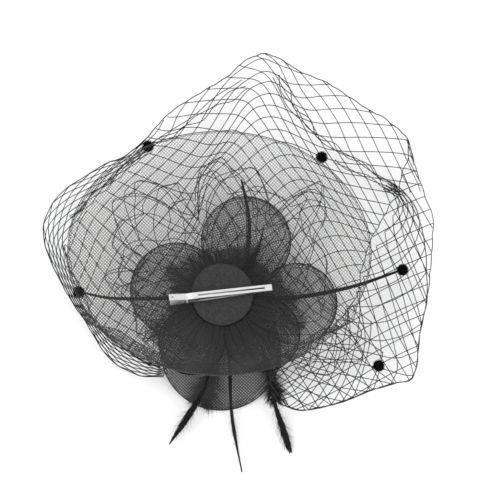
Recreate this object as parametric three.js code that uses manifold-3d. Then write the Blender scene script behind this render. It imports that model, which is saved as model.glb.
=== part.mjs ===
// Mesh flower fascinator hat, lying flower side down with its fork clip on top.
// Millimetres, +Z up. The flower's axis is vertical, and its petal rims rest on the ground plane.
// Everything is sewn to one gathered core: the pad of short feathers lowest, on the flower's face, then
// petals, tail feathers, veil, quills, brim, felt and clip.
import * as THREE from 'three';
import { mergeVertices } from 'three/addons/utils/BufferGeometryUtils.js';
import Module from 'manifold-3d';

const wasm = await Module();
wasm.setup();

// Walls and clearances
const clothWall = 1.2;
const seatGap = 0.3;
const layerStep = 2.6;

// Core and flower
const coreRadius = 9;
const coreNose = 16;
const petalRootHeight = 24;
const flowerRadius = 71;
const fallPower = 1.7;
const petalRootArc = 36;
const lobeArc = 128;
const rimDropShare = 0.68;

// Hackle pad of short feathers
const padReach = 47;
const padTips = 15;

// Felt base and brim disc
const feltRadius = 18.6;
const feltWall = 2.4;
const feltChamfer = 0.6;
const brimHalfWidth = 92;
const brimHalfDepth = 73;
const brimShiftX = -1.8;
const brimShiftY = 24.3;
const brimDroop = 3;
const rollRadius = 5;
const rollTurn = 205;
const rollFrom = 0.4;
const rollFull = 0.72;

// Veil, one strip of net gathered to the core
const veilReach = 146;
const veilFloat = 45;
const veilDip = 22;
const veilDipStart = 70;
const veilDipEnd = 150;
const veilWave = 5;
const veilWaves = 7;
const netWall = 1.2;
const netStrut = 2;
const dotRadius = 3.4;

// Inner ruffle of the veil
const ruffleReach = 84;
const ruffleWave = 2.5;

// Quills and feathers
const quillRadius = 1.1;
const featherWall = 1.2;
const featherWidth = 9;

// Fork clip
const clipWidth = 3.9;
const clipSteel = 0.8;
const clipJaw = 51;
const clipTab = 10.4;
const clipPivotX = -21;
const clipPivotY = -2.4;
const clipHeading = 7.8;
const clipRoll = -24;
const pivotHeight = 2.9;
const pinRadius = 0.7;
const pinOverhang = 0.8;
const earThick = 0.55;
const slotStart = 7.2;
const slotWidth = 1;
const forkGap = 2;
const slotTipWall = 4.7;
const toothCount = 5;
const toothHeight = 0.5;

// Layers on the core, counted in layer steps above the lowest petal root
const layers = { pad: -1.4, feather: 5, ruffle: 6, veil: 7, quill: 8.1, brim: 9.2 };

// Mesh steps of the sheets, and the gaps of the nets: columns and rows of gaps, rows of the plain band
// at the root, and the share of the reach where the gaps start
const petalSteps = { across: 14, along: 6 };
const padSteps = { perTip: 4, along: 3 };
const brimSteps = { around: 44, along: 10 };
const featherSteps = { across: 2, along: 16 };
const veilGaps = { columns: 32, rows: 6, bandRows: 3, netStart: 0.5 };
const ruffleGaps = { columns: 24, rows: 4, bandRows: 2, netStart: 0.6 };

// Petals: angle in degrees, lobe centre and lobe radius as shares of the flower radius, layer
const petals = [
  { name: 'petal_top', angle: 66, centre: 0.49, lobe: 0.38, layer: 0, rests: true },
  { name: 'petal_left', angle: 175, centre: 0.395, lobe: 0.397, layer: 1, rests: true },
  { name: 'petal_right', angle: -8, centre: 0.637, lobe: 0.346, layer: 1, rests: true },
  { name: 'petal_lower_left', angle: -123, centre: 0.484, lobe: 0.282, layer: 3, rests: false },
  { name: 'petal_lower_right', angle: -46, centre: 0.482, lobe: 0.321, layer: 2, rests: false },
  { name: 'petal_bottom', angle: -92, centre: 0.49, lobe: 0.51, layer: 0, rests: true },
];

// Veil outline: reach as a share of the veil's reach, at even steps of angle from first to last
const veilFirst = -62;
const veilLast = 234;
const veilOutline = [0.51, 0.65, 0.82, 0.84, 0.88, 0.92, 0.985, 0.955, 0.95, 0.79, 0.7, 0.765, 0.785,
  0.655, 0.56, 0.52, 0.42];

// Chenille dots on the veil: angle in degrees, distance as a share of the veil's reach, and how far the
// dot sinks into a gap of the net as a share of its radius
const dots = [
  { name: 'veil_dot_1', angle: 116.7, along: 0.68, sink: 0 },
  { name: 'veil_dot_2', angle: 54, along: 0.695, sink: 0.22 },
  { name: 'veil_dot_3', angle: 179.2, along: 0.59, sink: 0 },
  { name: 'veil_dot_4', angle: 7.6, along: 0.748, sink: 0 },
  { name: 'veil_dot_5', angle: -24.7, along: 0.708, sink: 0 },
];

const degree = Math.PI / 180;
const layerHeight = (layer) => petalRootHeight + layer * layerStep;
const smooth = (value, from, to) => THREE.MathUtils.smoothstep(value, from, to);
const polar = (radius, angle, z) =>
  new THREE.Vector3(radius * Math.cos(angle * degree), radius * Math.sin(angle * degree), z);

// Fall of every gathered sheet below its root: flat at the core, steepest at the flower's rim
function fall(radius) {
  const share = THREE.MathUtils.clamp((radius - coreRadius) / (flowerRadius - coreRadius), 0, 1);
  return petalRootHeight * share ** fallPower;
}

// A closed body from vertices and faces, turned so that its faces point out
function body(vertices, faces) {
  let volume = 0;
  for (const [a, b, c] of faces) {
    volume += vertices[a].dot(new THREE.Vector3().crossVectors(vertices[b], vertices[c]));
  }
  const ordered = volume > 0 ? faces : faces.map(([a, b, c]) => [a, c, b]);
  const geometry = new THREE.BufferGeometry();
  geometry.setAttribute('position', new THREE.Float32BufferAttribute(vertices.flatMap((v) => v.toArray()), 3));
  geometry.setIndex(ordered.flat());
  return geometry;
}

// Unit normal of the surface point(u, v), from small steps both ways
function surfaceNormal(point, u, v) {
  const step = 1e-3;
  const alongU = point(u + step, v).sub(point(u - step, v));
  const alongV = point(u, v + step).sub(point(u, v - step));
  return alongU.cross(alongV).normalize();
}

// A wall of even thickness round the surface point(u, v): u and v run from 0 to 1.
// A closed sheet joins u = 1 to u = 0, and one with a pole shrinks v = 0 to a point.
function sheet(point, countU, countV, wall, { closed = false, pole = false } = {}) {
  const vertices = [];
  const faces = [];
  const columns = closed ? countU : countU + 1;
  const firstRow = pole ? 1 : 0;
  const index = [[], []];
  for (const side of [0, 1]) {
    const offset = (0.5 - side) * wall;
    for (let j = firstRow; j <= countV; j++) {
      index[side][j] = [];
      for (let i = 0; i < columns; i++) {
        const normal = surfaceNormal(point, i / countU, j / countV);
        index[side][j][i] = vertices.length;
        vertices.push(point(i / countU, j / countV).addScaledVector(normal, offset));
      }
    }
    if (pole) {
      index[side].poleVertex = vertices.length;
      vertices.push(point(0, 0).addScaledVector(surfaceNormal(point, 0, 1e-2), offset));
    }
  }
  const quad = (a, b, c, d) => faces.push([a, b, c], [a, c, d]);
  for (let i = 0; i < countU; i++) {
    const next = (i + 1) % columns;
    for (let j = firstRow; j < countV; j++) {
      const [top, under] = index;
      quad(top[j][i], top[j][next], top[j + 1][next], top[j + 1][i]);
      quad(under[j][i], under[j + 1][i], under[j + 1][next], under[j][next]);
    }
    if (pole) {
      faces.push([index[0].poleVertex, index[0][1][next], index[0][1][i]]);
      faces.push([index[1].poleVertex, index[1][1][i], index[1][1][next]]);
    } else {
      quad(index[0][0][i], index[1][0][i], index[1][0][next], index[0][0][next]);
    }
    quad(index[0][countV][i], index[0][countV][next], index[1][countV][next], index[1][countV][i]);
  }
  if (!closed) {
    for (let j = 0; j < countV; j++) {
      quad(index[0][j][0], index[0][j + 1][0], index[1][j + 1][0], index[1][j][0]);
      quad(index[0][j][countU], index[1][j][countU], index[1][j + 1][countU], index[0][j + 1][countU]);
    }
  }
  return body(vertices, faces);
}

// Net of diamond gaps on the surface point(u, v), with a plain gathered band from v = 0 to netStart.
// Columns and rows count half diamonds, so that a diamond stands round each odd sum of column and row.
function net(point, { columns, rows, bandRows, netStart }) {
  const vertices = [];
  const faces = [];
  const known = new Map();
  const place = (u, v) => {
    const normal = surfaceNormal(point, u, v);
    const centre = point(u, v);
    vertices.push(centre.clone().addScaledVector(normal, netWall / 2));
    vertices.push(centre.clone().addScaledVector(normal, -netWall / 2));
    return vertices.length - 2;
  };
  const latticeV = (row) => netStart + (1 - netStart) * row / rows;
  const node = (column, row) => {
    const key = `${column},${row}`;
    if (!known.has(key)) known.set(key, place(column / columns, latticeV(row)));
    return known.get(key);
  };
  const used = new Map();
  const wallEdge = (a, b) => faces.push([a, a + 1, b + 1], [a, b + 1, b]);
  const edge = (a, b) => {
    const back = `${b},${a}`;
    if (used.has(back)) used.delete(back);
    else used.set(`${a},${b}`, [a, b]);
  };
  const plain = (loop) => {
    for (let k = 1; k < loop.length - 1; k++) {
      faces.push([loop[0], loop[k], loop[k + 1]], [loop[0] + 1, loop[k + 1] + 1, loop[k] + 1]);
    }
    loop.forEach((a, k) => edge(a, loop[(k + 1) % loop.length]));
  };
  const diamond = (column, row) => {
    const corners = [[column - 1, row], [column, row - 1], [column + 1, row], [column, row + 1]];
    const outer = corners.map(([c, r]) => node(c, r));
    const width = vertices[outer[0]].distanceTo(vertices[outer[2]]);
    const height = vertices[outer[1]].distanceTo(vertices[outer[3]]);
    const keep = 1 - netStrut * Math.hypot(width, height) / (width * height);
    const inner = corners.map(([c, r]) =>
      place((column + (c - column) * keep) / columns, latticeV(row + (r - row) * keep)));
    for (let k = 0; k < 4; k++) {
      const next = (k + 1) % 4;
      faces.push([outer[k], outer[next], inner[next]], [outer[k], inner[next], inner[k]]);
      faces.push([outer[k] + 1, inner[next] + 1, outer[next] + 1], [outer[k] + 1, inner[k] + 1, inner[next] + 1]);
      wallEdge(inner[next], inner[k]);
      edge(outer[k], outer[next]);
    }
  };
  for (let row = 1; row < rows; row++) {
    for (let column = 1; column < columns; column++) {
      if ((column + row) % 2) diamond(column, row);
    }
  }
  for (let column = 1; column < columns; column += 2) {
    plain([node(column - 1, 0), node(column + 1, 0), node(column, 1)]);
  }
  const band = (column, row) => {
    const key = `band${column},${row}`;
    if (row === bandRows) return node(column, 0);
    if (!known.has(key)) known.set(key, place(column / columns, netStart * row / bandRows));
    return known.get(key);
  };
  for (let row = 0; row < bandRows; row++) {
    for (let column = 0; column < columns; column += 2) {
      plain([band(column, row), band(column + 2, row), band(column + 2, row + 1), band(column, row + 1)]);
    }
  }
  for (const [a, b] of used.values()) wallEdge(a, b);
  return body(vertices, faces);
}

// A round tube along a curve, with a radius for each place along it and a point at each end
function taperedTube(curve, radiusAt, sides, steps) {
  const vertices = [curve.getPoint(0)];
  const faces = [];
  const frames = curve.computeFrenetFrames(steps, false);
  for (let j = 0; j < steps; j++) {
    const share = (j + 0.5) / steps;
    const centre = curve.getPoint(share);
    for (let i = 0; i < sides; i++) {
      const turn = i / sides * 2 * Math.PI;
      vertices.push(centre.clone()
        .addScaledVector(frames.normals[j], radiusAt(share) * Math.cos(turn))
        .addScaledVector(frames.binormals[j], radiusAt(share) * Math.sin(turn)));
    }
  }
  vertices.push(curve.getPoint(1));
  const ring = (j, i) => 1 + j * sides + i % sides;
  for (let i = 0; i < sides; i++) {
    faces.push([0, ring(0, i + 1), ring(0, i)]);
    for (let j = 0; j < steps - 1; j++) {
      faces.push([ring(j, i), ring(j, i + 1), ring(j + 1, i + 1)], [ring(j, i), ring(j + 1, i + 1), ring(j + 1, i)]);
    }
    faces.push([vertices.length - 1, ring(steps - 1, i), ring(steps - 1, i + 1)]);
  }
  return body(vertices, faces);
}

// Joins and cuts of closed meshes
function toSolid(geometry) {
  const bare = new THREE.BufferGeometry();
  bare.setAttribute('position', geometry.getAttribute('position'));
  if (geometry.index) bare.setIndex(geometry.index);
  const merged = mergeVertices(bare, 1e-4);
  return new wasm.Manifold(new wasm.Mesh({
    numProp: 3,
    vertProperties: Float32Array.from(merged.getAttribute('position').array),
    triVerts: Uint32Array.from(merged.index.array),
  }));
}

function toGeometry(solid) {
  const mesh = solid.getMesh();
  const geometry = new THREE.BufferGeometry();
  geometry.setAttribute('position', new THREE.Float32BufferAttribute(Float32Array.from(mesh.vertProperties), 3));
  geometry.setIndex(Array.from(mesh.triVerts));
  return geometry;
}

// A turned body about the Z axis, from a profile of radius and height that starts and ends on the axis
function turned(profile, sides) {
  const points = profile.map(([radius, z]) => new THREE.Vector2(radius, z));
  const geometry = new THREE.LatheGeometry(points, sides);
  geometry.rotateX(Math.PI / 2);
  return toGeometry(toSolid(geometry));
}

// Half angle of a lobe that is seen whole from a root point: up to where the ray grazes the circle
function lobeHalfAngle(middle, radius, rootRadius) {
  const away = middle - rootRadius * Math.cos(petalRootArc * degree);
  const aside = rootRadius * Math.sin(petalRootArc * degree);
  const distance = Math.hypot(away, aside);
  const grazing = distance > radius ? Math.acos(radius / distance) : 0;
  const limit = 180 - (Math.atan2(aside, away) + grazing) / degree;
  return Math.min(lobeArc, limit - 6);
}

// One petal: rays from an arc on the core to the round lobe, cupped towards the ground
function petalGeometry({ angle, centre, lobe, layer, rests }) {
  const rootRadius = coreRadius + seatGap;
  const middle = centre * flowerRadius;
  const radius = lobe * flowerRadius;
  const reach = middle + radius;
  const lastHeight = layerHeight(layer) - fall(reach);
  const rimDrop = rests ? lastHeight : 0;
  const halfLobe = lobeHalfAngle(middle, radius, rootRadius);
  const point = (u, v) => {
    const across = 1 - 2 * u;
    const root = polar(rootRadius, angle + across * petalRootArc, 0);
    const rim = polar(middle, angle, 0).add(polar(radius, angle + across * halfLobe, 0));
    const flat = root.lerp(rim, v);
    const distance = Math.hypot(flat.x, flat.y);
    const outward = flat.dot(polar(1, angle, 0));
    const drop = rimDrop * smooth(outward, rimDropShare * reach, reach);
    flat.z = layerHeight(layer) - fall(distance) - drop;
    return flat;
  };
  return sheet(point, petalSteps.across, petalSteps.along, clothWall);
}

// The pad of short feathers: a gathered disc whose edge runs out in pointed tips of uneven reach
function padGeometry() {
  const inner = coreRadius + seatGap;
  const point = (u, v) => {
    const turn = u * padTips;
    const tip = Math.abs(2 * (turn - Math.floor(turn)) - 1);
    const uneven = 0.86 + 0.14 * Math.sin(2.4 * Math.round(turn) + 0.5);
    const reach = padReach * THREE.MathUtils.lerp(0.62, uneven, tip);
    const radius = THREE.MathUtils.lerp(inner, reach, v);
    return polar(radius, 360 * u, layerHeight(layers.pad) - fall(radius));
  };
  return sheet(point, padTips * padSteps.perTip, padSteps.along, clothWall, { closed: true });
}

// The core: a spool of gathered roots with a rounded nose on the flower's face
function coreGeometry() {
  const top = layerHeight(layers.brim) - clothWall / 2 - seatGap;
  const profile = [
    [0, petalRootHeight - coreNose],
    [0.6 * coreRadius, petalRootHeight - 0.94 * coreNose],
    [0.9 * coreRadius, petalRootHeight - 0.75 * coreNose],
    [coreRadius, petalRootHeight - 0.45 * coreNose],
    [coreRadius, top],
    [0, top],
  ];
  return turned(profile, 28);
}

// The felt base: a flat disc with broken edges
const feltBottom = layerHeight(layers.brim) + clothWall / 2 + seatGap;
const feltTop = feltBottom + feltWall;
function feltGeometry() {
  const profile = [
    [0, feltBottom],
    [feltRadius - feltChamfer, feltBottom],
    [feltRadius, feltBottom + feltChamfer],
    [feltRadius, feltTop - feltChamfer],
    [feltRadius - feltChamfer, feltTop],
    [0, feltTop],
  ];
  return turned(profile, 36);
}

// The brim: an oval disc that droops a little, with its lower rim rolled under in a part turn.
// v runs flat to the start of the roll and then round it.
function brimGeometry() {
  const flatShare = 0.6;
  const point = (u, v) => {
    const turn = 360 * u;
    const lower = -Math.sin(turn * degree);
    const roll = rollTurn * smooth(lower, rollFrom, rollFull);
    const inset = 1 - rollRadius / brimHalfDepth;
    const flatPart = Math.min(v / flatShare, 1);
    const rollPart = Math.max((v - flatShare) / (1 - flatShare), 0);
    const full = { x: Math.cos(turn * degree), y: Math.sin(turn * degree) };
    const lift = rollRadius * Math.sin(rollPart * roll * degree);
    const rollDrop = rollRadius * (1 - Math.cos(rollPart * roll * degree));
    const straight = rollRadius * rollPart * (1 - smooth(lower, rollFrom, rollFull));
    const centreX = brimShiftX * Math.min(flatPart, 1);
    const centreY = brimShiftY * Math.min(flatPart, 1);
    const reach = inset * flatPart;
    const x = centreX + full.x * (brimHalfWidth * reach + lift + straight);
    const y = centreY + full.y * (brimHalfDepth * reach + lift + straight);
    const away = smooth(Math.hypot(x, y), feltRadius + 4, brimHalfWidth);
    const z = layerHeight(layers.brim) - brimDroop * away - rollDrop;
    return new THREE.Vector3(x, y, z);
  };
  return sheet(point, brimSteps.around, brimSteps.along, clothWall, { closed: true, pole: true });
}

// Reach of the veil's outline at an angle, as a smooth curve through the table
const outlineCurve = new THREE.SplineCurve(veilOutline.map((share, k) => new THREE.Vector2(k, share)));
function veilOutlineReach(angle) {
  const share = THREE.MathUtils.clamp((angle - veilFirst) / (veilLast - veilFirst), 0, 1);
  return veilReach * outlineCurve.getPoint(share).y;
}

// Height of the veil: gathered at the core, afloat past the flower, and dipping in waves at its edge
function veilHeight(angle, radius) {
  const swell = smooth(radius, veilDipStart, veilDipEnd);
  const wave = veilWave * Math.sin(veilWaves * angle * degree);
  return layerHeight(layers.veil) - fall(Math.min(radius, veilFloat)) - swell * (veilDip - wave);
}

// Angle at an even share of the veil's edge, so that wide stretches get more columns
const edgeSteps = 148;
const edgeLengths = [0];
for (let k = 1; k <= edgeSteps; k++) {
  const angle = veilFirst + (veilLast - veilFirst) * (k - 0.5) / edgeSteps;
  edgeLengths.push(edgeLengths[k - 1] + veilOutlineReach(angle));
}
function veilAngle(share) {
  const wanted = share * edgeLengths[edgeSteps];
  let k = 1;
  while (k < edgeSteps && edgeLengths[k] < wanted) k++;
  const part = (wanted - edgeLengths[k - 1]) / (edgeLengths[k] - edgeLengths[k - 1]);
  return veilFirst + (veilLast - veilFirst) * (k - 1 + part) / edgeSteps;
}

function veilPoint(u, v) {
  const angle = veilAngle(1 - u);
  const radius = THREE.MathUtils.lerp(coreRadius + seatGap, veilOutlineReach(angle), v);
  return polar(radius, angle, veilHeight(angle, radius));
}

// The inner ruffle: a shorter lobed fold of the same net, between the veil and the petals
const ruffleFirst = -45;
const ruffleLast = 216;
const ruffleLobes = 5;
function rufflePoint(u, v) {
  const angle = THREE.MathUtils.lerp(ruffleLast, ruffleFirst, u);
  const lobe = Math.abs(Math.sin(ruffleLobes * Math.PI * u));
  const reach = ruffleReach * (0.78 + 0.22 * lobe);
  const radius = THREE.MathUtils.lerp(coreRadius + seatGap, reach, v);
  const wave = ruffleWave * Math.cos(2 * ruffleLobes * Math.PI * u) * smooth(radius, veilFloat, ruffleReach);
  return polar(radius, angle, layerHeight(layers.ruffle) - fall(radius) + wave);
}

// Quills: two long ones out to their dots and two short ones, as points of angle, distance and drop.
// Distances are shares of the veil's reach, and drops are shares of the petal root height.
const quills = [
  { name: 'quill_left', dot: 'veil_dot_3', route: [[188, 0.07, 0], [183.5, 0.3, 0.05], [182, 0.46, 0.2]] },
  { name: 'quill_right', dot: 'veil_dot_4', route: [[-8, 0.07, 0], [-3, 0.28, 0.05], [3, 0.52, 0.25]] },
  { name: 'quill_top', route: [[60, 0.07, 0], [56, 0.17, 0], [70, 0.32, 0.05], [80.5, 0.475, 0.15]] },
  { name: 'feather_top_small', route: [[42, 0.07, 0], [48, 0.18, 0], [53, 0.25, 0.03], [58, 0.32, 0.08]] },
];

function dotCentre({ angle, along, sink }) {
  const radius = along * veilReach;
  const rise = netWall / 2 + seatGap + (1 - sink) * dotRadius;
  return polar(radius, angle, veilHeight(angle, radius) + rise);
}

function quillGeometry({ dot, route }) {
  const rootHeight = layerHeight(layers.quill);
  const points = route.map(([angle, along, drop]) => {
    const radius = along * veilReach;
    return polar(radius, angle, rootHeight - drop * petalRootHeight);
  });
  points[0].setLength(Math.hypot(coreRadius + seatGap, rootHeight));
  points[0].copy(polar(coreRadius + seatGap, route[0][0], rootHeight));
  if (dot) {
    const centre = dotCentre(dots.find((row) => row.name === dot));
    const last = points[points.length - 1];
    const back = last.clone().sub(centre).setLength(dotRadius + seatGap);
    points.push(centre.clone().add(back));
  }
  const curve = new THREE.CatmullRomCurve3(points, false, 'centripetal');
  return taperedTube(curve, (share) => quillRadius * (1 - 0.65 * share), 6, 14);
}

// Tail feathers below the flower: points of angle, distance as a share of the veil's reach, and height
// above the ground as a share of the petal root height, with the vane's widest place along the feather
const feathers = [
  { name: 'feather_lower_left', widest: 0.6,
    route: [[-104, 0.0, 0], [-98, 0.232, 0], [-100, 0.35, 0], [-102.5, 0.44, 0.7], [-109.6, 0.668, 0.1]] },
  { name: 'feather_lower_centre', widest: 0.45,
    route: [[-86, 0.0, 0], [-84.2, 0.264, 0], [-85.8, 0.482, 0.4], [-85.1, 0.602, 0.2], [-83.9, 0.748, 0.1]] },
  { name: 'feather_lower_right', widest: 0.6,
    route: [[-60, 0.0, 0], [-54, 0.26, 0], [-61, 0.385, 0], [-64.7, 0.505, 0.5], [-67, 0.719, 0.1]] },
];

function featherGeometry({ widest, route }) {
  const points = route.map(([angle, along, height]) => {
    const radius = Math.max(along * veilReach, coreRadius + seatGap);
    const onFlower = layerHeight(layers.feather) - fall(radius);
    return polar(radius, angle, height ? height * petalRootHeight : onFlower);
  });
  const curve = new THREE.CatmullRomCurve3(points, false, 'centripetal');
  const point = (u, v) => {
    const centre = curve.getPoint(THREE.MathUtils.clamp(v, 0, 1));
    const tangent = curve.getTangent(THREE.MathUtils.clamp(v, 0, 1));
    const side = new THREE.Vector3(tangent.y, -tangent.x, 0).normalize();
    const bell = Math.exp(-(((v - widest) / 0.22) ** 2));
    const width = featherWidth * (0.18 + 0.82 * bell) * (1 - smooth(v, 0.8, 1.05));
    return centre.addScaledVector(side, (0.5 - u) * width);
  };
  return sheet(point, featherSteps.across, featherSteps.along, featherWall);
}

// Clip pieces, with the pin's axis along Y at the origin and the jaw along +X
function strip(points, width) {
  const shape = new THREE.Shape(points.map(([x, z]) => new THREE.Vector2(x, z)));
  const geometry = new THREE.ExtrudeGeometry(shape, { depth: width, bevelEnabled: false });
  geometry.translate(0, 0, -width / 2);
  geometry.rotateX(Math.PI / 2);
  return toSolid(geometry);
}

function ear(side, inner, foot) {
  const shape = new THREE.Shape();
  const round = pinRadius + seatGap + clipSteel * 0.5;
  const start = foot < 0 ? 0 : Math.PI;
  shape.absarc(0, 0, round, start, start + Math.PI, false);
  shape.lineTo(foot < 0 ? -2 * round : 2 * round, foot);
  shape.lineTo(foot < 0 ? 2 * round : -2 * round, foot);
  shape.closePath();
  const hole = new THREE.Path();
  hole.absarc(0, 0, pinRadius + seatGap, 0, 2 * Math.PI, true);
  shape.holes.push(hole);
  const geometry = new THREE.ExtrudeGeometry(shape, { depth: earThick, bevelEnabled: false, curveSegments: 8 });
  geometry.rotateX(Math.PI / 2);
  geometry.translate(0, side > 0 ? inner + earThick : -inner, 0);
  return toSolid(geometry);
}

const outerEar = clipWidth / 2 - earThick;
const innerEar = outerEar - seatGap - earThick;

// A cutter for a round-ended slot along the clip, from the pin's side to the wall at the tip
function slotCutter(width) {
  const shape = new THREE.Shape();
  shape.absarc(slotStart, 0, width / 2, Math.PI / 2, 3 * Math.PI / 2, false);
  shape.absarc(clipJaw - slotTipWall, 0, width / 2, -Math.PI / 2, Math.PI / 2, false);
  shape.closePath();
  return clipCutter(shape);
}

function clipCutter(shape) {
  const depth = 6 * pivotHeight;
  const cutter = new THREE.ExtrudeGeometry(shape, { depth, bevelEnabled: false, curveSegments: 8 });
  cutter.translate(0, 0, -depth / 2);
  return toSolid(cutter);
}

// The fixed jaw lies on the felt: a fork of two prongs with teeth at its tip and two ears for the pin
function fixedJawGeometry() {
  const low = -pivotHeight;
  const high = low + clipSteel;
  const toothLength = 1.5;
  const outline = [[-clipTab, low], [clipJaw, low], [clipJaw, high]];
  for (let k = 0; k < toothCount; k++) {
    const x = clipJaw - (k + 0.5) * toothLength;
    outline.push([x, high + toothHeight], [x - toothLength / 2, high]);
  }
  outline.push([-clipTab, high]);
  let solid = strip(outline, clipWidth);
  for (const side of [-1, 1]) solid = solid.add(ear(side, outerEar, high - clipSteel / 2));
  solid = solid.subtract(slotCutter(forkGap));
  return toGeometry(solid);
}

// The moving arm: a bent strip with a long slot, a small eye in its thumb tab and two inner ears
function armGeometry() {
  const overPin = pinRadius + seatGap + clipSteel * 0.5 + 2 * seatGap;
  const tipLow = -pivotHeight + clipSteel + toothHeight + seatGap;
  const tabLow = overPin + clipTab * 0.26;
  const underside = [[-clipTab, tabLow], [0, overPin], [4, overPin], [clipJaw, tipLow]];
  const outline = underside.concat([...underside].reverse().map(([x, z]) => [x, z + clipSteel]));
  let solid = strip(outline, clipWidth);
  for (const side of [-1, 1]) solid = solid.add(ear(side, innerEar, overPin + clipSteel / 2));
  const eye = new THREE.Shape();
  eye.absarc(-0.8 * clipTab, 0, slotWidth / 2, 0, 2 * Math.PI, false);
  solid = solid.subtract(slotCutter(slotWidth)).subtract(clipCutter(eye));
  return toGeometry(solid);
}

function pinGeometry() {
  const geometry = new THREE.CylinderGeometry(pinRadius, pinRadius, clipWidth + 2 * pinOverhang, 16);
  return toGeometry(toSolid(geometry));
}

// Colours of the cloths, feathers and steel
const finishes = {
  crin: new THREE.MeshStandardMaterial({ color: 0x1c1c1c, roughness: 0.6, metalness: 0 }),
  felt: new THREE.MeshStandardMaterial({ color: 0x262626, roughness: 0.95, metalness: 0 }),
  net: new THREE.MeshStandardMaterial({ color: 0x161616, roughness: 0.7, metalness: 0 }),
  chenille: new THREE.MeshStandardMaterial({ color: 0x0c0c0c, roughness: 1, metalness: 0 }),
  feather: new THREE.MeshStandardMaterial({ color: 0x101010, roughness: 0.5, metalness: 0 }),
  steel: new THREE.MeshStandardMaterial({ color: 0xd8d8d8, roughness: 0.22, metalness: 1 }),
};

const group = new THREE.Group();
function addPiece(name, geometry, material, parent = group) {
  const mesh = new THREE.Mesh(geometry, material);
  mesh.name = name;
  parent.add(mesh);
  return mesh;
}

addPiece('felt_base', feltGeometry(), finishes.felt);
addPiece('brim_disc', brimGeometry(), finishes.crin);
addPiece('flower_core', coreGeometry(), finishes.crin);
for (const petal of petals) addPiece(petal.name, petalGeometry(petal), finishes.crin);
addPiece('hackle_pad', padGeometry(), finishes.feather);
addPiece('veil_outer', net(veilPoint, veilGaps), finishes.net);
addPiece('veil_ruffle', net(rufflePoint, ruffleGaps), finishes.net);
for (const dot of dots) {
  const ball = toGeometry(toSolid(new THREE.SphereGeometry(dotRadius, 12, 6)));
  addPiece(dot.name, ball, finishes.chenille).position.copy(dotCentre(dot));
}
for (const quill of quills) addPiece(quill.name, quillGeometry(quill), finishes.feather);
for (const feather of feathers) addPiece(feather.name, featherGeometry(feather), finishes.feather);

// The clip stands on the felt, a little rolled, so that its lower long edge is the one that touches
const clip = new THREE.Group();
const clipTurn = Math.abs(clipRoll) * degree;
const clipLift = pivotHeight * Math.cos(clipTurn) + clipWidth / 2 * Math.sin(clipTurn);
clip.position.set(clipPivotX, clipPivotY, feltTop + seatGap + clipLift);
clip.rotation.set(clipRoll * degree, 0, clipHeading * degree, 'ZYX');
group.add(clip);
addPiece('clip_jaw', fixedJawGeometry(), finishes.steel, clip);
addPiece('clip_arm', armGeometry(), finishes.steel, clip);
addPiece('clip_pin', pinGeometry(), finishes.steel, clip);

// Stand the whole hat on the ground plane, centred over the origin
const box = new THREE.Box3().setFromObject(group, true);
const middle = box.getCenter(new THREE.Vector3());
group.position.set(-middle.x, -middle.y, -box.min.z);

export default group;
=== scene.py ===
"""Looks of a mesh flower fascinator hat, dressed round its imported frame.

The hat lies flower side down. Every shape is worked out in millimetres about the flower's upright axis,
with heights above the ground, and is placed by the felt disc of the frame.
"""

import math

import bpy
import numpy as np
from bpy.props import FloatProperty, FloatVectorProperty, PointerProperty
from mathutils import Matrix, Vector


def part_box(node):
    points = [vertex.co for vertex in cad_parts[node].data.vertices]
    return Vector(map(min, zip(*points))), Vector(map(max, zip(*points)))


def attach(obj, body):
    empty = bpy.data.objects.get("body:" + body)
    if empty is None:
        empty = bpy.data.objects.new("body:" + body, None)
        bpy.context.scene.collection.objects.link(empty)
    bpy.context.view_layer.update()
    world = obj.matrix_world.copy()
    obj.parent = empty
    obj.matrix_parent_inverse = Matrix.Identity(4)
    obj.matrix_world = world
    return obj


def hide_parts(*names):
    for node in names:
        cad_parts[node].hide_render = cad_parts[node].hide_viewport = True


bl_info = {
    "name": "Mesh Flower Fascinator",
    "version": (1, 0, 0),
    "blender": (4, 5, 0),
    "location": "3D View > Sidebar > Fascinator",
    "description": "Crinoline, net, felt, feathers and steel for a flower fascinator hat",
    "category": "Add Mesh",
}

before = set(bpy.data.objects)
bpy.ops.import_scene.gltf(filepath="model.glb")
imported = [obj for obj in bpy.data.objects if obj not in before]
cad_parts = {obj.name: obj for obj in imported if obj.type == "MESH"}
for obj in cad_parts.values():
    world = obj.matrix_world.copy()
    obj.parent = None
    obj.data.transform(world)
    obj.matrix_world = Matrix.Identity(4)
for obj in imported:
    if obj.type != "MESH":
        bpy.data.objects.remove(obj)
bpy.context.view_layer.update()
FELT_LOW, FELT_HIGH = (np.array(corner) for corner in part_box("felt_base"))

# Sizes in millimetres and degrees, most of them as in the solids. Threads have a direction and a lift, the
# clears are circles without net or knots, a knot is so many times as wide as its thread, and the tails'
# shafts come up through the bottom petal from the one distance to the other
MM = 0.001
CORE_RADIUS = 9.0
ROOT_HEIGHT = 24.0
LAYER_STEP = 2.6
FLOWER_RADIUS = 71.0
FALL_POWER = 1.7
PETAL_ROOT_ARC = 36.0
RIM_DROP_SHARE = 0.68
PETAL_PLEAT = 0.5
PETAL_PLEATS = 17
FELT_RADIUS = 18.6
FELT_WALL = 2.4
CLOTH_WALL = 1.2
SEAT_GAP = 0.3
BRIM_HALF = np.array([92.0, 73.0])
BRIM_SHIFT = np.array([-1.8, 24.3])
BRIM_DROOP = 3.0
BRIM_SPAN = 125.0
BRIM_THREADS = ((50.0, 0.07), (137.0, -0.07))
ROLL_THREADS = (6.0, 96.0)
ROLL_RADIUS = 5.0
ROLL_TURN = 205.0
BRIM_INSET = BRIM_HALF * (1 - ROLL_RADIUS / BRIM_HALF[1])
VEIL_REACH = 146.0
VEIL_FLOAT = 45.0
VEIL_DIP = 22.0
VEIL_DIP_RANGE = (70.0, 150.0)
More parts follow.
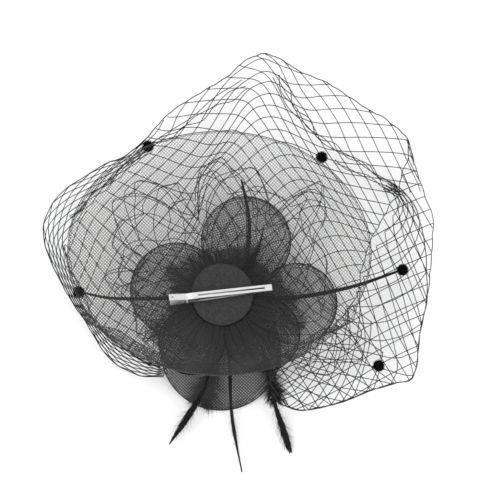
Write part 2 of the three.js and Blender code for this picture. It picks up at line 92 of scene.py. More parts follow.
VEIL_WAVE = 5.0
VEIL_WAVES = 7
RUFFLE_REACH = 84.0
RUFFLE_WAVE = 2.5
RUFFLE_ANGLES = (-45.0, 216.0)
RUFFLE_SPREAD = ((0, 0.17, 0.25, 0.55, 1), (RUFFLE_ANGLES[0], -5, 28, 110, RUFFLE_ANGLES[1]))
RUFFLE_FOLD = 0.74
RUFFLE_REACH_WAVES = ((1.6, 41, 7), (1.1, 97, -11))
RUFFLE_TURN_WAVES = ((1.3, 63, -9), (0.9, 23, 15))
RUFFLE_LOBES = 5
NET_CLEAR = 33.0
KNOT_CLEAR = 30.0
KNOT = 2.1
FOLD_WAVE = 30.0
FRONT_CELL = 8.0
FRONT_RISE = 1.5
TAIL_THROUGH = (44.0, 66.0)
CLIP_LEAN = -7.8
LAYERS = {"pad": -1.4, "feather": 5.0, "ruffle": 6.0, "veil": 7.0, "quill": 8.1, "brim": 9.2}

# The photograph's scale in metres a pixel, the felt's centre in it, and the height where the scale holds
PIXEL = 0.0006
PHOTO_SIDE = 500
FELT_PIXEL = (222.5, 294.0)
SCALE_HEIGHT = 0.035
CAMERA_HEIGHT = 2.5

# Lamps: name, place, size in metres and power in watts
LAMPS = (("key", (-0.5, 0.45, 1.3), 0.9, 11.0), ("fill", (0.7, -0.4, 1.2), 1.2, 7.0))

# Dyed fibres: colour, roughness, scale and share of the uneven dye, gloss, and the grain and depth of a bump
DYES = {
    "crinoline": ("crin", 0.38, 90, 0.3, 0.5, 0, 0),
    # A lighter copy of the crinoline above: painted light on the brim, the top layer.
    "brim crinoline": ("brim", 0.38, 90, 0.3, 0.3, 0, 0),
    "net thread": ("net", 0.5, 120, 0.3, 0.25, 9000, 0.00004),
    "glossy feather": ("feather", 0.5, 60, 0.4, 0.2, 0, 0),
    # Lighter than the glossy feathers: painted light on the pad in the shade under the petals.
    "short feather": ("down", 0.7, 90, 0.35, 0.5, 0, 0),
    "gathered cloth": ("cloth", 0.8, 200, 0.3, 0.1, 0, 0),
    "pressed felt": ("felt", 0.9, 800, 0.3, 0.12, 2600, 0.0006),
    "wound chenille": ("chenille", 0.9, 400, 0.3, 0.05, 0, 0),
}

# Petals: angle, lobe centre and lobe radius as shares of the flower radius, layer, rests on the ground,
# and its crinoline's direction, pitch, number of layers and share of the petal thread's width
PETALS = {
    "petal_top": (66.0, 0.49, 0.38, 0, True, 12.0, 1.4, 2, 0.8),
    "petal_left": (175.0, 0.395, 0.397, 1, True, 58.0, 1.4, 2, 0.8),
    "petal_right": (-8.0, 0.637, 0.346, 1, True, 33.0, 1.4, 2, 0.8),
    "petal_lower_left": (-123.0, 0.484, 0.282, 3, False, 75.0, 1.4, 2, 1.1),
    "petal_lower_right": (-46.0, 0.482, 0.321, 2, False, 20.0, 1.4, 2, 1.1),
    "petal_bottom": (-92.0, 0.49, 0.51, 0, True, 47.0, 1.36, 1, 2.15),
}

# Barbs: where they start and end along the spine, how many a side, and their lean, width, curl and jitter
BARBS = {
    "hackle": (0.05, 0.99, 90, 1.02, 0.42, 0.03, 0.06),
    "filler": (0.05, 0.99, 90, 1.02, 0.8, 0.03, 0.06),
    "stubble": (0.2, 0.9, 26, 1.15, 0.12, 0.15, 0.06),
    "small vane": (0.3, 0.98, 60, 0.9, 0.2, 0.15, 0.06),
    "strands": (0.15, 0.7, 110, 0.7, 0.3, 0.2, 0.3),
    "vane": (0.4, 0.99, 260, 1.12, 0.75, 0.03, 0.06),
    "loose": (0.5, 0.93, 90, 0.95, 0.2, 0.08, 0.15),
    "down": (0.02, 0.98, 290, 0.7, 0.42, 0.2, 0.25),
}

# Short feathers of the pad: the angle and the reach of each tip
HACKLES = (
    (-23, 53.5), (-46, 50.5), (-5, 45), (-65, 44), (12, 37), (-84, 41), (27, 31), (-102, 46), (43, 28),
    (-121, 44), (57, 33), (-136, 38), (74, 29), (-149, 52), (94, 26), (-167, 34), (114, 28), (135, 30),
    (174, 31), (157, 37),
)

# Quills: a route of the angle, the share of the veil's reach and the drop as a share of the root height,
# then the width of the base and the dot that the quill ends in
QUILLS = {
    "quill_left": ([(188, 0.07, 0), (183.5, 0.3, 0.05), (182, 0.46, 0.2)], 2.5, "veil_dot_3"),
    "quill_right": ([(-8, 0.07, 0), (-3, 0.28, 0.05), (3, 0.52, 0.25)], 2.9, "veil_dot_4"),
    "quill_top": ([(60, 0.07, 0), (56, 0.17, 0), (70, 0.32, 0.05), (80.5, 0.475, 0.15)], 2.7, None),
    "feather_top_small": ([(42, 0.07, 0), (48, 0.18, 0), (53, 0.25, 0.03), (58, 0.32, 0.08)], 1.4, None),
}

# Tail feathers: a route of the angle, the share of the veil's reach and the height as a share of the root
# height, where 0 lies on the flower. Then half the vane's width, the share where it is widest, the width of
# the base, and the turn, the longest barb, the start and the end of a tuft of down
TAILS = {
    "feather_lower_left": ([(-104, 0.0, 0), (-98, 0.232, 0), (-100, 0.35, 0), (-102.5, 0.44, 0.7),
                            (-109.6, 0.668, 0.1)], 4.6, 0.74, 2.0, (2, 13, 40, 68)),
    "feather_lower_centre": ([(-86, 0.0, 0), (-84.2, 0.264, 0), (-85.8, 0.482, 0.4), (-85.1, 0.602, 0.2),
                              (-83.9, 0.748, 0.1)], 2.3, 0.7, 2.9, None),
    "feather_lower_right": ([(-60, 0.0, 0), (-54, 0.26, 0), (-61, 0.385, 0), (-64.7, 0.505, 0.5),
                             (-67, 0.719, 0.1)], 4.6, 0.84, 2.0, (1, 9, 46, 74)),
}

# The veil's top sheet: counts of threads of the two families, and the place in the plan where they cross
TOP_SHEET = (
    (16, 1, 12.9, 137), (15, 1, 4.5, 130.8), (14, 0, -8.3, 123.6), (14, 1, -0.9, 124.2),
    (13, -1, -21.9, 115.2), (13, 0, -14.1, 116.4), (12, -1, -27.9, 106.8), (12, 0, -18.9, 108),
    (11, -2, -38.7, 99), (11, -1, -30.9, 97.8), (11, 0, -23.1, 100.2), (17, 1, 23.7, 143.4),
    (18, 1, 33.9, 138.6), (19, 1, 41.1, 136.2), (20, 1, 47.1, 133.2), (14, 2, 8.1, 124.2),
    (15, 2, 16.5, 130.2), (16, 2, 23.7, 134.4), (17, 2, 31.5, 133.2), (18, 2, 38.7, 127.2),
    (20, 2, 53.1, 126), (21, 2, 62.7, 126.6), (14, 3, 16.5, 124.2), (16, 3, 29.7, 128.4),
    (18, 3, 42.9, 119.4), (20, 3, 59.1, 119.4), (22, 3, 75.9, 119.4), (14, 4, 22.5, 119.4),
    (16, 4, 34.5, 119.4), (18, 4, 48.9, 111.6), (20, 4, 64.5, 111.6), (23, 4, 89.1, 109.8),
    (13, 5, 18.3, 111.6), (15, 5, 32.1, 113.4), (18, 5, 53.1, 103.8), (20, 5, 69.9, 103.2),
    (22, 5, 86.1, 103.2), (24, 5, 102.3, 102), (25, 6, 111.9, 93), (6, 7, -9.3, 67.2), (8, 7, 0.9, 78),
    (10, 7, 11.1, 87.6), (12, 7, 21.9, 96), (14, 7, 33.9, 99), (16, 7, 47.7, 93.6), (18, 7, 61.5, 87.6),
    (20, 7, 77.1, 85.8), (22, 7, 94.5, 85.8), (24, 7, 110.1, 84.6), (26, 7, 116.7, 80.4), (6, 9, 0.9, 52.8),
    (8, 9, 11.1, 63.6), (10, 9, 21.3, 73.2), (12, 9, 31.5, 81.6), (14, 9, 42.9, 83.4), (16, 9, 57.3, 78),
    (18, 9, 71.7, 73.2), (20, 9, 86.1, 70.8), (22, 9, 103.5, 68.4), (24, 9, 118.5, 66), (12, 3, 5.1, 108.6),
    (11, 3, -1.5, 97.8), (9, 0, -34.5, 88.8), (9, 3, -12.9, 82.2), (7, 0, -45.9, 78), (7, 3, -24.3, 69.6),
    (5, 0, -59.1, 66), (5, 3, -38.1, 55.8), (5, 6, -17.1, 46.8), (3, 0, -71.7, 52.8), (3, 3, -53.1, 39.6),
    (1, 0, -81.3, 38.4), (1, 3, -65.7, 21.6), (-1, 0, -86.7, 21.6), (-1, 3, -74.7, 2.4), (8, 12, 27.3, 43.2),
    (12, 12, 47.7, 61.2), (16, 12, 73.5, 53.4), (20, 12, 97.5, 47.4), (24, 12, 124.5, 41.4),
)

# Edges of the veil's parts, as routes in the plan
LEFT_OUT = (
    (-44.7, 94.8), (-58.5, 83.4), (-70.5, 78.6), (-79.5, 73.2), (-97.5, 61.2), (-106.5, 47.4),
    (-108.3, 35.4), (-103.5, 19.2), (-91.5, -3.6), (-82.5, -16.8), (-73.5, -31.8), (-64.5, -42),
    (-49.5, -49.2), (-35.7, -49.8),
)
LEFT_IN = (
    (-42.3, 85.2), (-54.3, 76.8), (-66.3, 65.4), (-76.5, 56.4), (-89.1, 41.4), (-95.1, 29.4), (-93.9, 17.4),
    (-85.5, -3.6), (-78.3, -14.4), (-66.3, -27.6), (-55.5, -34.8), (-43.5, -40.8), (-34.5, -45.6),
)
RIGHT_IN = (
    (112.5, 92.4), (112.5, 82), (109, 74), (107.5, 68), (106.2, 59.5), (101.5, 54.5), (97, 46), (93, 39),
    (88.5, 31), (86, 22), (83, 12), (82, 2), (77.7, -6), (67.5, -18.6), (57.3, -27.6), (40.5, -34.8),
    (23.7, -40.8),
)
RIGHT_LOW = (
    (123.3, -3.6), (119.1, -24.6), (117.3, -42.6), (113.7, -51.6), (103.5, -54), (88.5, -58.2),
    (73.5, -64.2), (57.3, -68.4), (46.5, -69.6), (35.7, -66), (29.7, -58.8),
)
RIGHT_OUT = (
    (112.5, 92.4), (116.1, 78), (120, 66), (123.9, 54), (126.9, 46.5), (126.5, 33), (125.5, 18),
) + RIGHT_LOW
FAN_OUT = (
    (101, 68), (108.5, 62.5), (116, 53), (120, 40), (122.5, 26), (123, 14),
) + RIGHT_LOW
FAN_IN = (
    (97, 63), (104, 58), (104, 50), (98, 38), (91, 26), (86, 14), (82, 4), (74, -8), (64, -20), (53, -28),
    (38, -34), (24, -38),
)
TOP_OUT = (
    (-44.7, 94.8), (-31.5, 109.2), (-13.5, 121.2), (3, 131.5), (12, 140), (20, 144), (26, 145.2),
    (35.5, 141.5), (47.1, 134), (62.7, 127.5), (76.5, 118.8), (88.5, 111), (96.9, 107), (102.9, 102.2),
    (107.7, 98.5), (112.5, 92.4), (116.1, 78),
)

# Strips of net: the two edges, rows of cells, width of a cell, rise above the veil, bulge between the
# edges, and how far the outer edge bows out at each cell
STRIPS = (
    (LEFT_OUT, LEFT_IN, 5, 14.0, -2.0, 1.0, 0.25),
    (FAN_OUT, FAN_IN, 4, 16.0, -2.5, -1.5, 0.3),
    (RIGHT_LOW[4:], RIGHT_IN[11:], 3, 14.0, 3.5, 2.0, 0.4),
)

# Folds where threads bunch: how far each thread sways, how far apart they start, and the route
FOLDS = (
    ((0.4, 0.9, 1.5), 4.0, (
        (13.5, 126), (1.5, 119.4), (-13.5, 108), (-28.5, 97.8), (-44.7, 88.8), (-58.5, 77.4), (-73.5, 63.6),
        (-82.5, 55.2), (-91.5, 45.6),
    )),
    ((0.6, 1.2, 1.8), 3.0, (
        (33, 132), (38.7, 118), (48.3, 105.6), (57, 95.5), (66.5, 88.5), (76.5, 83), (90.9, 74), (99.3, 68),
        (106.5, 60.6),
    )),
    ((0.5, 1.2), 1.0, (
        (67, 79.6), (74.1, 76.2), (83.7, 72), (93.3, 67.2), (106.5, 60.6),
    )),
    ((0.4, 0.8, 1.2), 0.5, (
        (-95.7, 29.4), (-90.3, 11.4), (-82.5, -3.6), (-76.5, -15.6), (-64.5, -28.8), (-52.5, -37.2),
        (-37.5, -44.4),
    )),
)

# The ruffle's reach at angles round the axis
RUFFLE_OUTLINE = (
    (-50, 60), (-40, 80), (-25, 94), (-12, 86), (0, 68), (18, 64), (31, 70), (41, 89), (47, 93), (54, 72),
    (62, 66), (75, 78), (90, 83), (98, 79), (104, 58), (110, 66), (122, 82), (132, 88), (140, 84),
    (155, 72), (163, 66), (172, 70), (185, 65), (200, 58), (215, 53),
)

# Heights of the local solids are counted from a plane that the ground lies a little below
FELT_TOP = ROOT_HEIGHT + LAYERS["brim"] * LAYER_STEP + CLOTH_WALL / 2 + SEAT_GAP + FELT_WALL
AXIS = np.array([
    (FELT_LOW[0] + FELT_HIGH[0]) / 2,
    (FELT_LOW[1] + FELT_HIGH[1]) / 2,
    FELT_HIGH[2] - FELT_TOP * MM,
])


class HatSizes(bpy.types.PropertyGroup):
    crin_pitch: FloatProperty(
        name="Crinoline pitch", description="Space between brim threads", default=1.42 * MM, unit="LENGTH")
    brim_thread: FloatProperty(
        name="Brim thread", description="Width of a brim thread", default=0.191 * MM, unit="LENGTH")
    brim_thread_height: FloatProperty(
        name="Brim thread height", description="Height of a brim thread", default=0.5 * MM, unit="LENGTH")
    petal_thread: FloatProperty(
        name="Petal thread", description="Width of a petal thread", default=0.26 * MM, unit="LENGTH")
    net_cell: FloatProperty(
        name="Net cell", description="Diagonal of one diamond of the veil", default=11.7 * MM, unit="LENGTH")
    net_thread: FloatProperty(
        name="Net thread", description="Width of a veil thread", default=0.5 * MM, unit="LENGTH")


class HatColours(bpy.types.PropertyGroup):
    # Brim and petals are the same black crinoline. The brim's lighter copy is painted light on the top layer,
    # and the petals' darker copy is painted shade in the layers below.
    brim: FloatVectorProperty(
        name="Brim", description="Colour of the brim's threads",
        default=(0.05,) * 3, subtype="COLOR", min=0, max=1)
    crin: FloatVectorProperty(
        name="Crinoline", description="Colour of the petals' threads",
        default=(0.042,) * 3, subtype="COLOR", min=0, max=1)
    felt: FloatVectorProperty(
        name="Felt", description="Colour of the felt disc",
        default=(0.037,) * 3, subtype="COLOR", min=0, max=1)
    net: FloatVectorProperty(
        name="Net", description="Colour of the veil net",
        default=(0.012,) * 3, subtype="COLOR", min=0, max=1)
    feather: FloatVectorProperty(
        name="Feather", description="Colour of the feathers",
        default=(0.004,) * 3, subtype="COLOR", min=0, max=1)
    # The cloth's colour also paints the shadow under the felt's rim, on the core's roll.
    cloth: FloatVectorProperty(
        name="Cloth", description="Colour of the gathered cloth",
        default=(0.006,) * 3, subtype="COLOR", min=0, max=1)
    chenille: FloatVectorProperty(
        name="Chenille", description="Colour of the dots",
        default=(0.003,) * 3, subtype="COLOR", min=0, max=1)
    # A lighter copy of the black feathers: painted light on the pad, which lies in shade under the petals and
    # the brim.
    down: FloatVectorProperty(
        name="Down", description="Colour of the pad's short feathers",
        default=(0.06,) * 3, subtype="COLOR", min=0, max=1)
    steel: FloatVectorProperty(
        name="Steel", description="Colour of the clip's steel",
        default=(0.8, 0.8, 0.81), subtype="COLOR", min=0, max=1)


def sizes():
    return bpy.context.scene.hat_sizes


def colours():
    return bpy.context.scene.hat_colours


# Curves and surfaces of the hat, as whole arrays in millimetres


def smooth(value, start, end):
    """Share from 0 at start to 1 at end, with level ends: 3s^2 - 2s^3."""
    share = np.clip((value - start) / (end - start), 0, 1)
    return share * share * (3 - 2 * share)


def unit(vectors):
    return vectors / np.maximum(np.linalg.norm(vectors, axis=-1, keepdims=True), 1e-12)


def polar(radius, degrees, height):
    """Points at a radius and an angle about the axis, at a height."""
    turn = np.radians(degrees)
    return np.stack(np.broadcast_arrays(radius * np.cos(turn), radius * np.sin(turn), height), -1)


def far_out(plan):
    """Distance of places in the plan from the middle."""
    return np.hypot(plan[..., 0], plan[..., 1])


def turn_of(plan):
    """Angle of places in the plan about the middle, in radians."""
    return np.arctan2(plan[..., 1], plan[..., 0])


def leftward(ahead):
    """Directions of the plan, turned a quarter to the left."""
    return np.stack([-ahead[..., 1], ahead[..., 0]], -1)


def sampled(share, line):
    """Places at shares of the way along a line of even points."""
    steps = np.linspace(0, 1, len(line))
    return np.stack([np.interp(share, steps, line[:, k]) for k in range(line.shape[1])], -1)


def catmull(points, count):
    """Samples of a Catmull-Rom curve through points, even along the chords between them."""
    points = np.asarray(points, float)
    padded = np.concatenate([2 * points[:1] - points[1:2], points, 2 * points[-1:] - points[-2:-1]])
    lengths = np.concatenate([[0], np.cumsum(np.linalg.norm(np.diff(points, axis=0), axis=1))])
    want = np.linspace(0, lengths[-1], count)
    row = np.clip(np.searchsorted(lengths, want, side="right") - 1, 0, len(points) - 2)
    part = ((want - lengths[row]) / (lengths[row + 1] - lengths[row]))[:, None]
    p0, p1, p2, p3 = (padded[row + k] for k in range(4))
    return p1 + 0.5 * ((p2 - p0) * part + (2 * p0 - 5 * p1 + 4 * p2 - p3) * part ** 2
                       + (3 * p1 - p0 - 3 * p2 + p3) * part ** 3)


def route_length(route):
    return np.linalg.norm(np.diff(np.array(route), axis=0), axis=1).sum()


def layer_height(name):
    return ROOT_HEIGHT + LAYER_STEP * LAYERS[name]


def fall(radius):
    """Fall of a gathered sheet below its root: the root height times the radial share to a power."""
    share = np.clip((radius - CORE_RADIUS) / (FLOWER_RADIUS - CORE_RADIUS), 0, 1)
    return ROOT_HEIGHT * share ** FALL_POWER


def dot_place(name):
    """Centre and radius of one of the frame's dots, in millimetres about the axis."""
    low, high = (np.array(corner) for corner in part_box(name))
    return ((low + high) / 2 - AXIS) / MM, (high[0] - low[0]) / 2 / MM


def brim_surface(cloth):
    """Brim: a flat oval that droops away from the felt. Past its inset oval the cloth runs on, straight or
    round a roll. The run s past the oval solves (x/(A+s))^2 + (y/(B+s))^2 = 1 by Newton steps."""
    x, y = (cloth - BRIM_SHIFT)[..., 0], (cloth - BRIM_SHIFT)[..., 1]
    half_x, half_y = BRIM_INSET
    run = np.zeros_like(x)
    for _ in range(8):
        value = (x / (half_x + run)) ** 2 + (y / (half_y + run)) ** 2 - 1
        slope = -2 * (x ** 2 / (half_x + run) ** 3 + y ** 2 / (half_y + run) ** 3)
        run = np.maximum(run - value / np.minimum(slope, -1e-9), 0)
    turn = np.arctan2(y / (half_y + run), x / (half_x + run))
    full_run, roll = brim_run(turn)
    rolled = np.clip(run / full_run, 0, 1.02)
    rolls = roll >= 1e-6
    lateral = ROLL_RADIUS * np.sin(rolled * roll) + run * ~rolls
    straight = ROLL_RADIUS * rolled * (1 - roll / math.radians(ROLL_TURN)) * rolls
    beyond = run > 0
    out = np.where(beyond, lateral + straight, 0)
    drop = np.where(beyond, ROLL_RADIUS * (1 - np.cos(rolled * roll)), 0)
    plan_x = np.where(beyond, np.cos(turn) * (half_x + out), x) + BRIM_SHIFT[0]
    plan_y = np.where(beyond, np.sin(turn) * (half_y + out), y) + BRIM_SHIFT[1]
    away = smooth(np.hypot(plan_x, plan_y), FELT_RADIUS + 4, BRIM_HALF[0])
    return np.stack([plan_x, plan_y, layer_height("brim") - BRIM_DROOP * away - drop], -1)


def brim_run(turn):
    """Length of cloth past the inset oval, and how far it rolls, at an angle of the oval."""
    share = smooth(-np.sin(turn), 0.4, 0.72)
    roll = math.radians(ROLL_TURN) * share
    return ROLL_RADIUS * (roll + 1 - share), roll


def brim_edge(turn, share=1.0):
    """Cloth places along the brim's edge, at a share of the run past the inset oval."""
    run = brim_run(turn)[0] * share
    return np.stack([np.cos(turn), np.sin(turn)], -1) * (BRIM_INSET + run[..., None]) + BRIM_SHIFT


def petal_surface(name, plan, rise=0.0):
    """Petal: its layer's height less the fall, with pleats near the root, and with the rim of a resting
    petal dropped to the ground."""
    angle, centre, lobe, layer, rests = PETALS[name][:5]
    reach = (centre + lobe) * FLOWER_RADIUS
    radius = far_out(plan)
    root = ROOT_HEIGHT + layer * LAYER_STEP
    rim_drop = root - fall(reach) if rests else 0
    outward = plan @ polar(1.0, angle, 0.0)[:2]
    drop = rim_drop * smooth(outward, RIM_DROP_SHARE * reach, reach)
    pleats = PETAL_PLEAT * np.sin(PETAL_PLEATS * turn_of(plan)) * (1 - smooth(radius, 18, 46))
    height = root - fall(radius) - drop + pleats + rise
    return np.concatenate([plan, height[..., None]], -1)


def veil_height(plan):
    """Height of the veil over the plan: gathered at the core, afloat past the flower, dipping in waves."""
    radius = far_out(plan)
    wave = VEIL_WAVE * np.sin(VEIL_WAVES * turn_of(plan))
    swell = smooth(radius, *VEIL_DIP_RANGE)
    return layer_height("veil") - fall(np.minimum(radius, VEIL_FLOAT)) - swell * (VEIL_DIP - wave)


def raised(plan, rise=0.0):
    """Plan places with the veil's height and a rise above it."""
    return np.concatenate([plan, (veil_height(plan) + rise)[..., None]], -1)


def warp(table):
    """Smooth map of the plane through a table of pairs: a thin-plate spline, the sum of d^2 log d terms
    about the rows and of a flat term, with a little stiffness so that it passes near every row."""
    table = np.array(table, float)
    at, value = table[:, :2], table[:, 2:]
    stiffness = 0.6

    def bend(from_, to):
        square = ((from_[:, None] - to[None]) ** 2).sum(-1)
        return square * np.log(square + 1e-9)

    count = len(at)
    flat = np.hstack([np.ones((count, 1)), at])
    whole = np.zeros((count + 3, count + 3))
    whole[:count, :count] = bend(at, at) + stiffness * np.eye(count)
    whole[:count, count:] = flat
    whole[count:, :count] = flat.T
    weights = np.linalg.solve(whole, np.vstack([value, np.zeros((3, 2))]))

    def place(first, second):
        spots = np.stack(np.broadcast_arrays(first, second), -1).astype(float)
        rows = spots.reshape(-1, 2)
        made = bend(rows, at) @ weights[:count] + np.hstack([np.ones((len(rows), 1)), rows]) @ weights[count:]
        return made.reshape(spots.shape)

    return place


def leaning(first, second):
    """Places of the right side's front layer: two straight families that lean 26 and -62 degrees, with a
    slow ripple."""
    first, second = np.broadcast_arrays(first, second)
    up, down = math.radians(26), math.radians(-62)
    x = 75 + FRONT_CELL * (first * math.cos(up) + second * math.cos(down))
    y = FRONT_CELL * (first * math.sin(up) + second * math.sin(down))
    return np.stack([x + 1.2 * np.sin(y / 15), y + 1.2 * np.sin(x / 13)], -1)


def within(places, outline):
    """Which places of the plan lie inside a closed outline, by the crossings of a ray to the right."""
    x, y = places[..., 0], places[..., 1]
    inside = np.zeros(x.shape, bool)
    for (x0, y0), (x1, y1) in zip(outline, np.roll(outline, -1, 0)):
        across = (y0 > y) != (y1 > y)
        at = x0 + (y - y0) / (y1 - y0 if y1 != y0 else 1e-9) * (x1 - x0)
        inside ^= across & (x < at)
    return inside


def strip_surface(outer, inner, rise, swell=0.0):
    """A strip of net between two routes of the plan, bulged upwards between them by a half sine."""
    outer, inner = catmull(outer, 200), catmull(inner, 200)

    def place(along, across):
        along, across = np.broadcast_arrays(along, across)
        share = np.clip(across, 0, 1)
        into = sampled(along, inner)
        plan = into + (sampled(along, outer) - into) * share[..., None]
        return raised(plan, rise + swell * np.sin(np.pi * share))

    return place


def scalloped(route, columns, bulge, rise, out=1.0):
    """An edge thread that bows out between the ends of the net's threads."""
    share = np.linspace(0, 1, columns * 8 + 1)
    plan = sampled(share, catmull(route, 400))
    aside = leftward(unit(np.gradient(plan, axis=0))) * out
    bow = bulge * (np.abs(np.sin(np.pi * columns * share)) - 0.3)
    return raised(plan + aside * bow[:, None], rise)


def bunched(reaches, apart, route):
    """Threads that bunch along a fold: each starts apart, closes in on the route and crosses the others in
    its own slow wave."""
    share = np.linspace(0, 1, 150)
    line = catmull(route, 150)
    aside = leftward(unit(np.gradient(line, axis=0)))
    waves = route_length(route) / FOLD_WAVE
    rows = []
    for k, reach in enumerate(reaches):
        spread = apart * (k - (len(reaches) - 1) / 2) * (1 - share) ** 2
        sway = spread + reach * np.sin(2 * np.pi * (waves * share * (1 + 0.17 * k) + 0.37 * k))
        rows.append(raised(line + aside * sway[:, None], 0.8 + 0.2 * k))
    return np.array(rows)


def ruffle_surface(along, across):
    """Ruffle: a lobed puff of net, out from the core to its reach and folded back below. Sums of sines of
    the way along and across, each of a size and two counts, crumple its radius and its angle."""

    def waves(rows):
        return crumple * sum(size * np.sin(long * along + wide * across) for size, long, wide in rows)

    angle = np.interp(along, *RUFFLE_SPREAD)
    table = np.array(RUFFLE_OUTLINE)
    reach = np.interp(angle, table[:, 0], table[:, 1])
    start, turned_in, turned_down = CORE_RADIUS + SEAT_GAP, 22, 4.5
    outward = np.minimum(across / RUFFLE_FOLD, 1)
    back = np.maximum((across - RUFFLE_FOLD) / (1 - RUFFLE_FOLD), 0)
    radius = start + (reach - start) * (outward * (1.12 - 0.12 * outward)) - turned_in * back ** 1.5
    turned = angle + 2.5 * np.sin(9 * np.pi * along) * outward + 3 * back
    crumple = smooth(radius, 20, 50) * (0.5 + along)
    radius, turned = radius + waves(RUFFLE_REACH_WAVES), turned + waves(RUFFLE_TURN_WAVES)
    swirl = RUFFLE_WAVE * np.cos(2 * RUFFLE_LOBES * np.pi * along) * smooth(radius, VEIL_FLOAT, RUFFLE_REACH)
    tuck = turned_down * np.sin(np.pi / 2 * np.minimum(back, 1))
    return polar(radius, turned, layer_height("ruffle") - fall(radius) + swirl - tuck)


# Mesh makers


def add_piece(name, points, faces, material, slot, replaces=(), hem=None):
    """Puts points in millimetres and arrays of face corners into a mesh that rides on the hat. A hem is a
    second material and the number of the first face that has it."""
    points = np.asarray(points, float).reshape(-1, 3) * MM + AXIS
    mesh = bpy.data.meshes.new(name)
    mesh.vertices.add(len(points))
    mesh.vertices.foreach_set("co", points.astype(np.float32).ravel())
    corners = np.concatenate([np.asarray(block).ravel() for block in faces])
    totals = np.concatenate([np.full(len(block), np.asarray(block).shape[1]) for block in faces])
    mesh.loops.add(len(corners))
    mesh.loops.foreach_set("vertex_index", corners.astype(np.int32))
    mesh.polygons.add(len(totals))
    mesh.polygons.foreach_set("loop_start", np.concatenate([[0], np.cumsum(totals)[:-1]]).astype(np.int32))
    mesh.polygons.foreach_set("use_smooth", np.full(len(totals), True))
    if hem:
        mesh.polygons.foreach_set("material_index", (np.arange(len(totals)) >= hem[1]).astype(np.int32))
    mesh.update(calc_edges=True)
    mesh.materials.append(material)
    if hem:
        mesh.materials.append(hem[0])
    piece = bpy.data.objects.new(name, mesh)
    bpy.context.collection.objects.link(piece)
    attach(piece, "hat")
    if replaces:
        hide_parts(*replaces)
    return piece


def tubes(paths, width, height=None, sides=4, closed=False):
    """Tubes along rows of points: at each point an oval ring across the path, width sideways and height
    upwards, joined ring to ring by quads and capped at both ends unless the path closes on itself."""
    count, steps = paths.shape[:2]
    if closed:
        tangent = unit(np.roll(paths, -1, 1) - np.roll(paths, 1, 1))
    else:
        tangent = unit(np.gradient(paths, axis=1))
    upright = np.where(np.abs(tangent[..., 2:]) > 0.97, [1.0, 0.0, 0.0], [0.0, 0.0, 1.0])
    side = unit(np.cross(upright, tangent))
    over = np.cross(tangent, side)
    width, height = (np.broadcast_to(np.asarray(size, float), (count, steps))[..., None, None]
                     for size in (width, width if height is None else height))
    turn = 2 * np.pi * np.arange(sides)[:, None] / sides
    ring = (np.cos(turn) * side[:, :, None] * width + np.sin(turn) * over[:, :, None] * height) / 2
    points = (paths[:, :, None] + ring).reshape(-1, 3)
    index = np.arange(count * steps * sides).reshape(count, steps, sides)
    after = np.roll(index, -1, 2)
    ahead, ahead_after = (np.roll(grid, -1, 1) if closed else grid[:, 1:] for grid in (index, after))
    here, here_after = (index, after) if closed else (index[:, :-1], after[:, :-1])
    faces = [np.stack([here, here_after, ahead_after, ahead], -1).reshape(-1, 4)]
    if not closed:
        faces += [index[:, 0, ::-1], index[:, -1]]
    return points, faces


def turned_body(points):
    """A closed body from profiles at even turns: quads between neighbours, and a cap over both ends."""
    index = np.arange(points.shape[0] * points.shape[1]).reshape(points.shape[:2])
    around = np.roll(index, -1, 0)
    sides = np.stack([index[:, :-1], around[:, :-1], around[:, 1:], index[:, 1:]], -1).reshape(-1, 4)
    return points.reshape(-1, 3), [sides, index[::-1, 0][None], index[:, -1][None]]


def joined(*bodies):
    """Several bodies of points and faces as one."""
    points, faces, start = [], [], 0
    for body_points, body_faces in bodies:
        points.append(body_points)
        faces += [np.asarray(block) + start for block in body_faces]
        start += len(body_points)
    return np.concatenate(points), faces


def knots(places, size):
    """A small octahedron at each place."""
    corners = np.array([[1, 0, 0], [0, 1, 0], [-1, 0, 0], [0, -1, 0], [0, 0, 1], [0, 0, -1]]) * size / 2
    wedge = np.array([[0, 1, 4], [1, 2, 4], [2, 3, 4], [3, 0, 4], [1, 0, 5], [2, 1, 5], [3, 2, 5], [0, 3, 5]])
    points = (places[:, None] + corners).reshape(-1, 3)
    faces = (wedge[None] + 6 * np.arange(len(places))[:, None, None]).reshape(-1, 3)
    return points, [faces]


def held_runs(held, least):
    """First number, and the number after the last, of each run of true values that is long enough."""
    edges = np.flatnonzero(np.diff(np.concatenate([[0], held.astype(int), [0]])))
    return [(first, last) for first, last in zip(edges[::2], edges[1::2]) if last - first >= least]


def straight_threads(direction, pitch, middle, span, inside, steps):
    """Rows of even points along parallel lines of a plane, cut to the first and last place inside."""
    turn = math.radians(direction)
    ahead = np.array([math.cos(turn), math.sin(turn)])
    across = leftward(ahead)
    offsets = np.arange(-span, span, pitch)
    run = np.linspace(-span, span, 600)
    places = middle + offsets[:, None, None] * across + run[None, :, None] * ahead
    held = inside(places)
    kept = held.sum(1) > 4
    first = run[held.argmax(1)][kept]
    last = run[held.shape[1] - 1 - held[:, ::-1].argmax(1)][kept]
    share = np.linspace(0, 1, steps)
    along = first[:, None] + (last - first)[:, None] * share
    return middle + offsets[kept][:, None, None] * across + along[..., None] * ahead


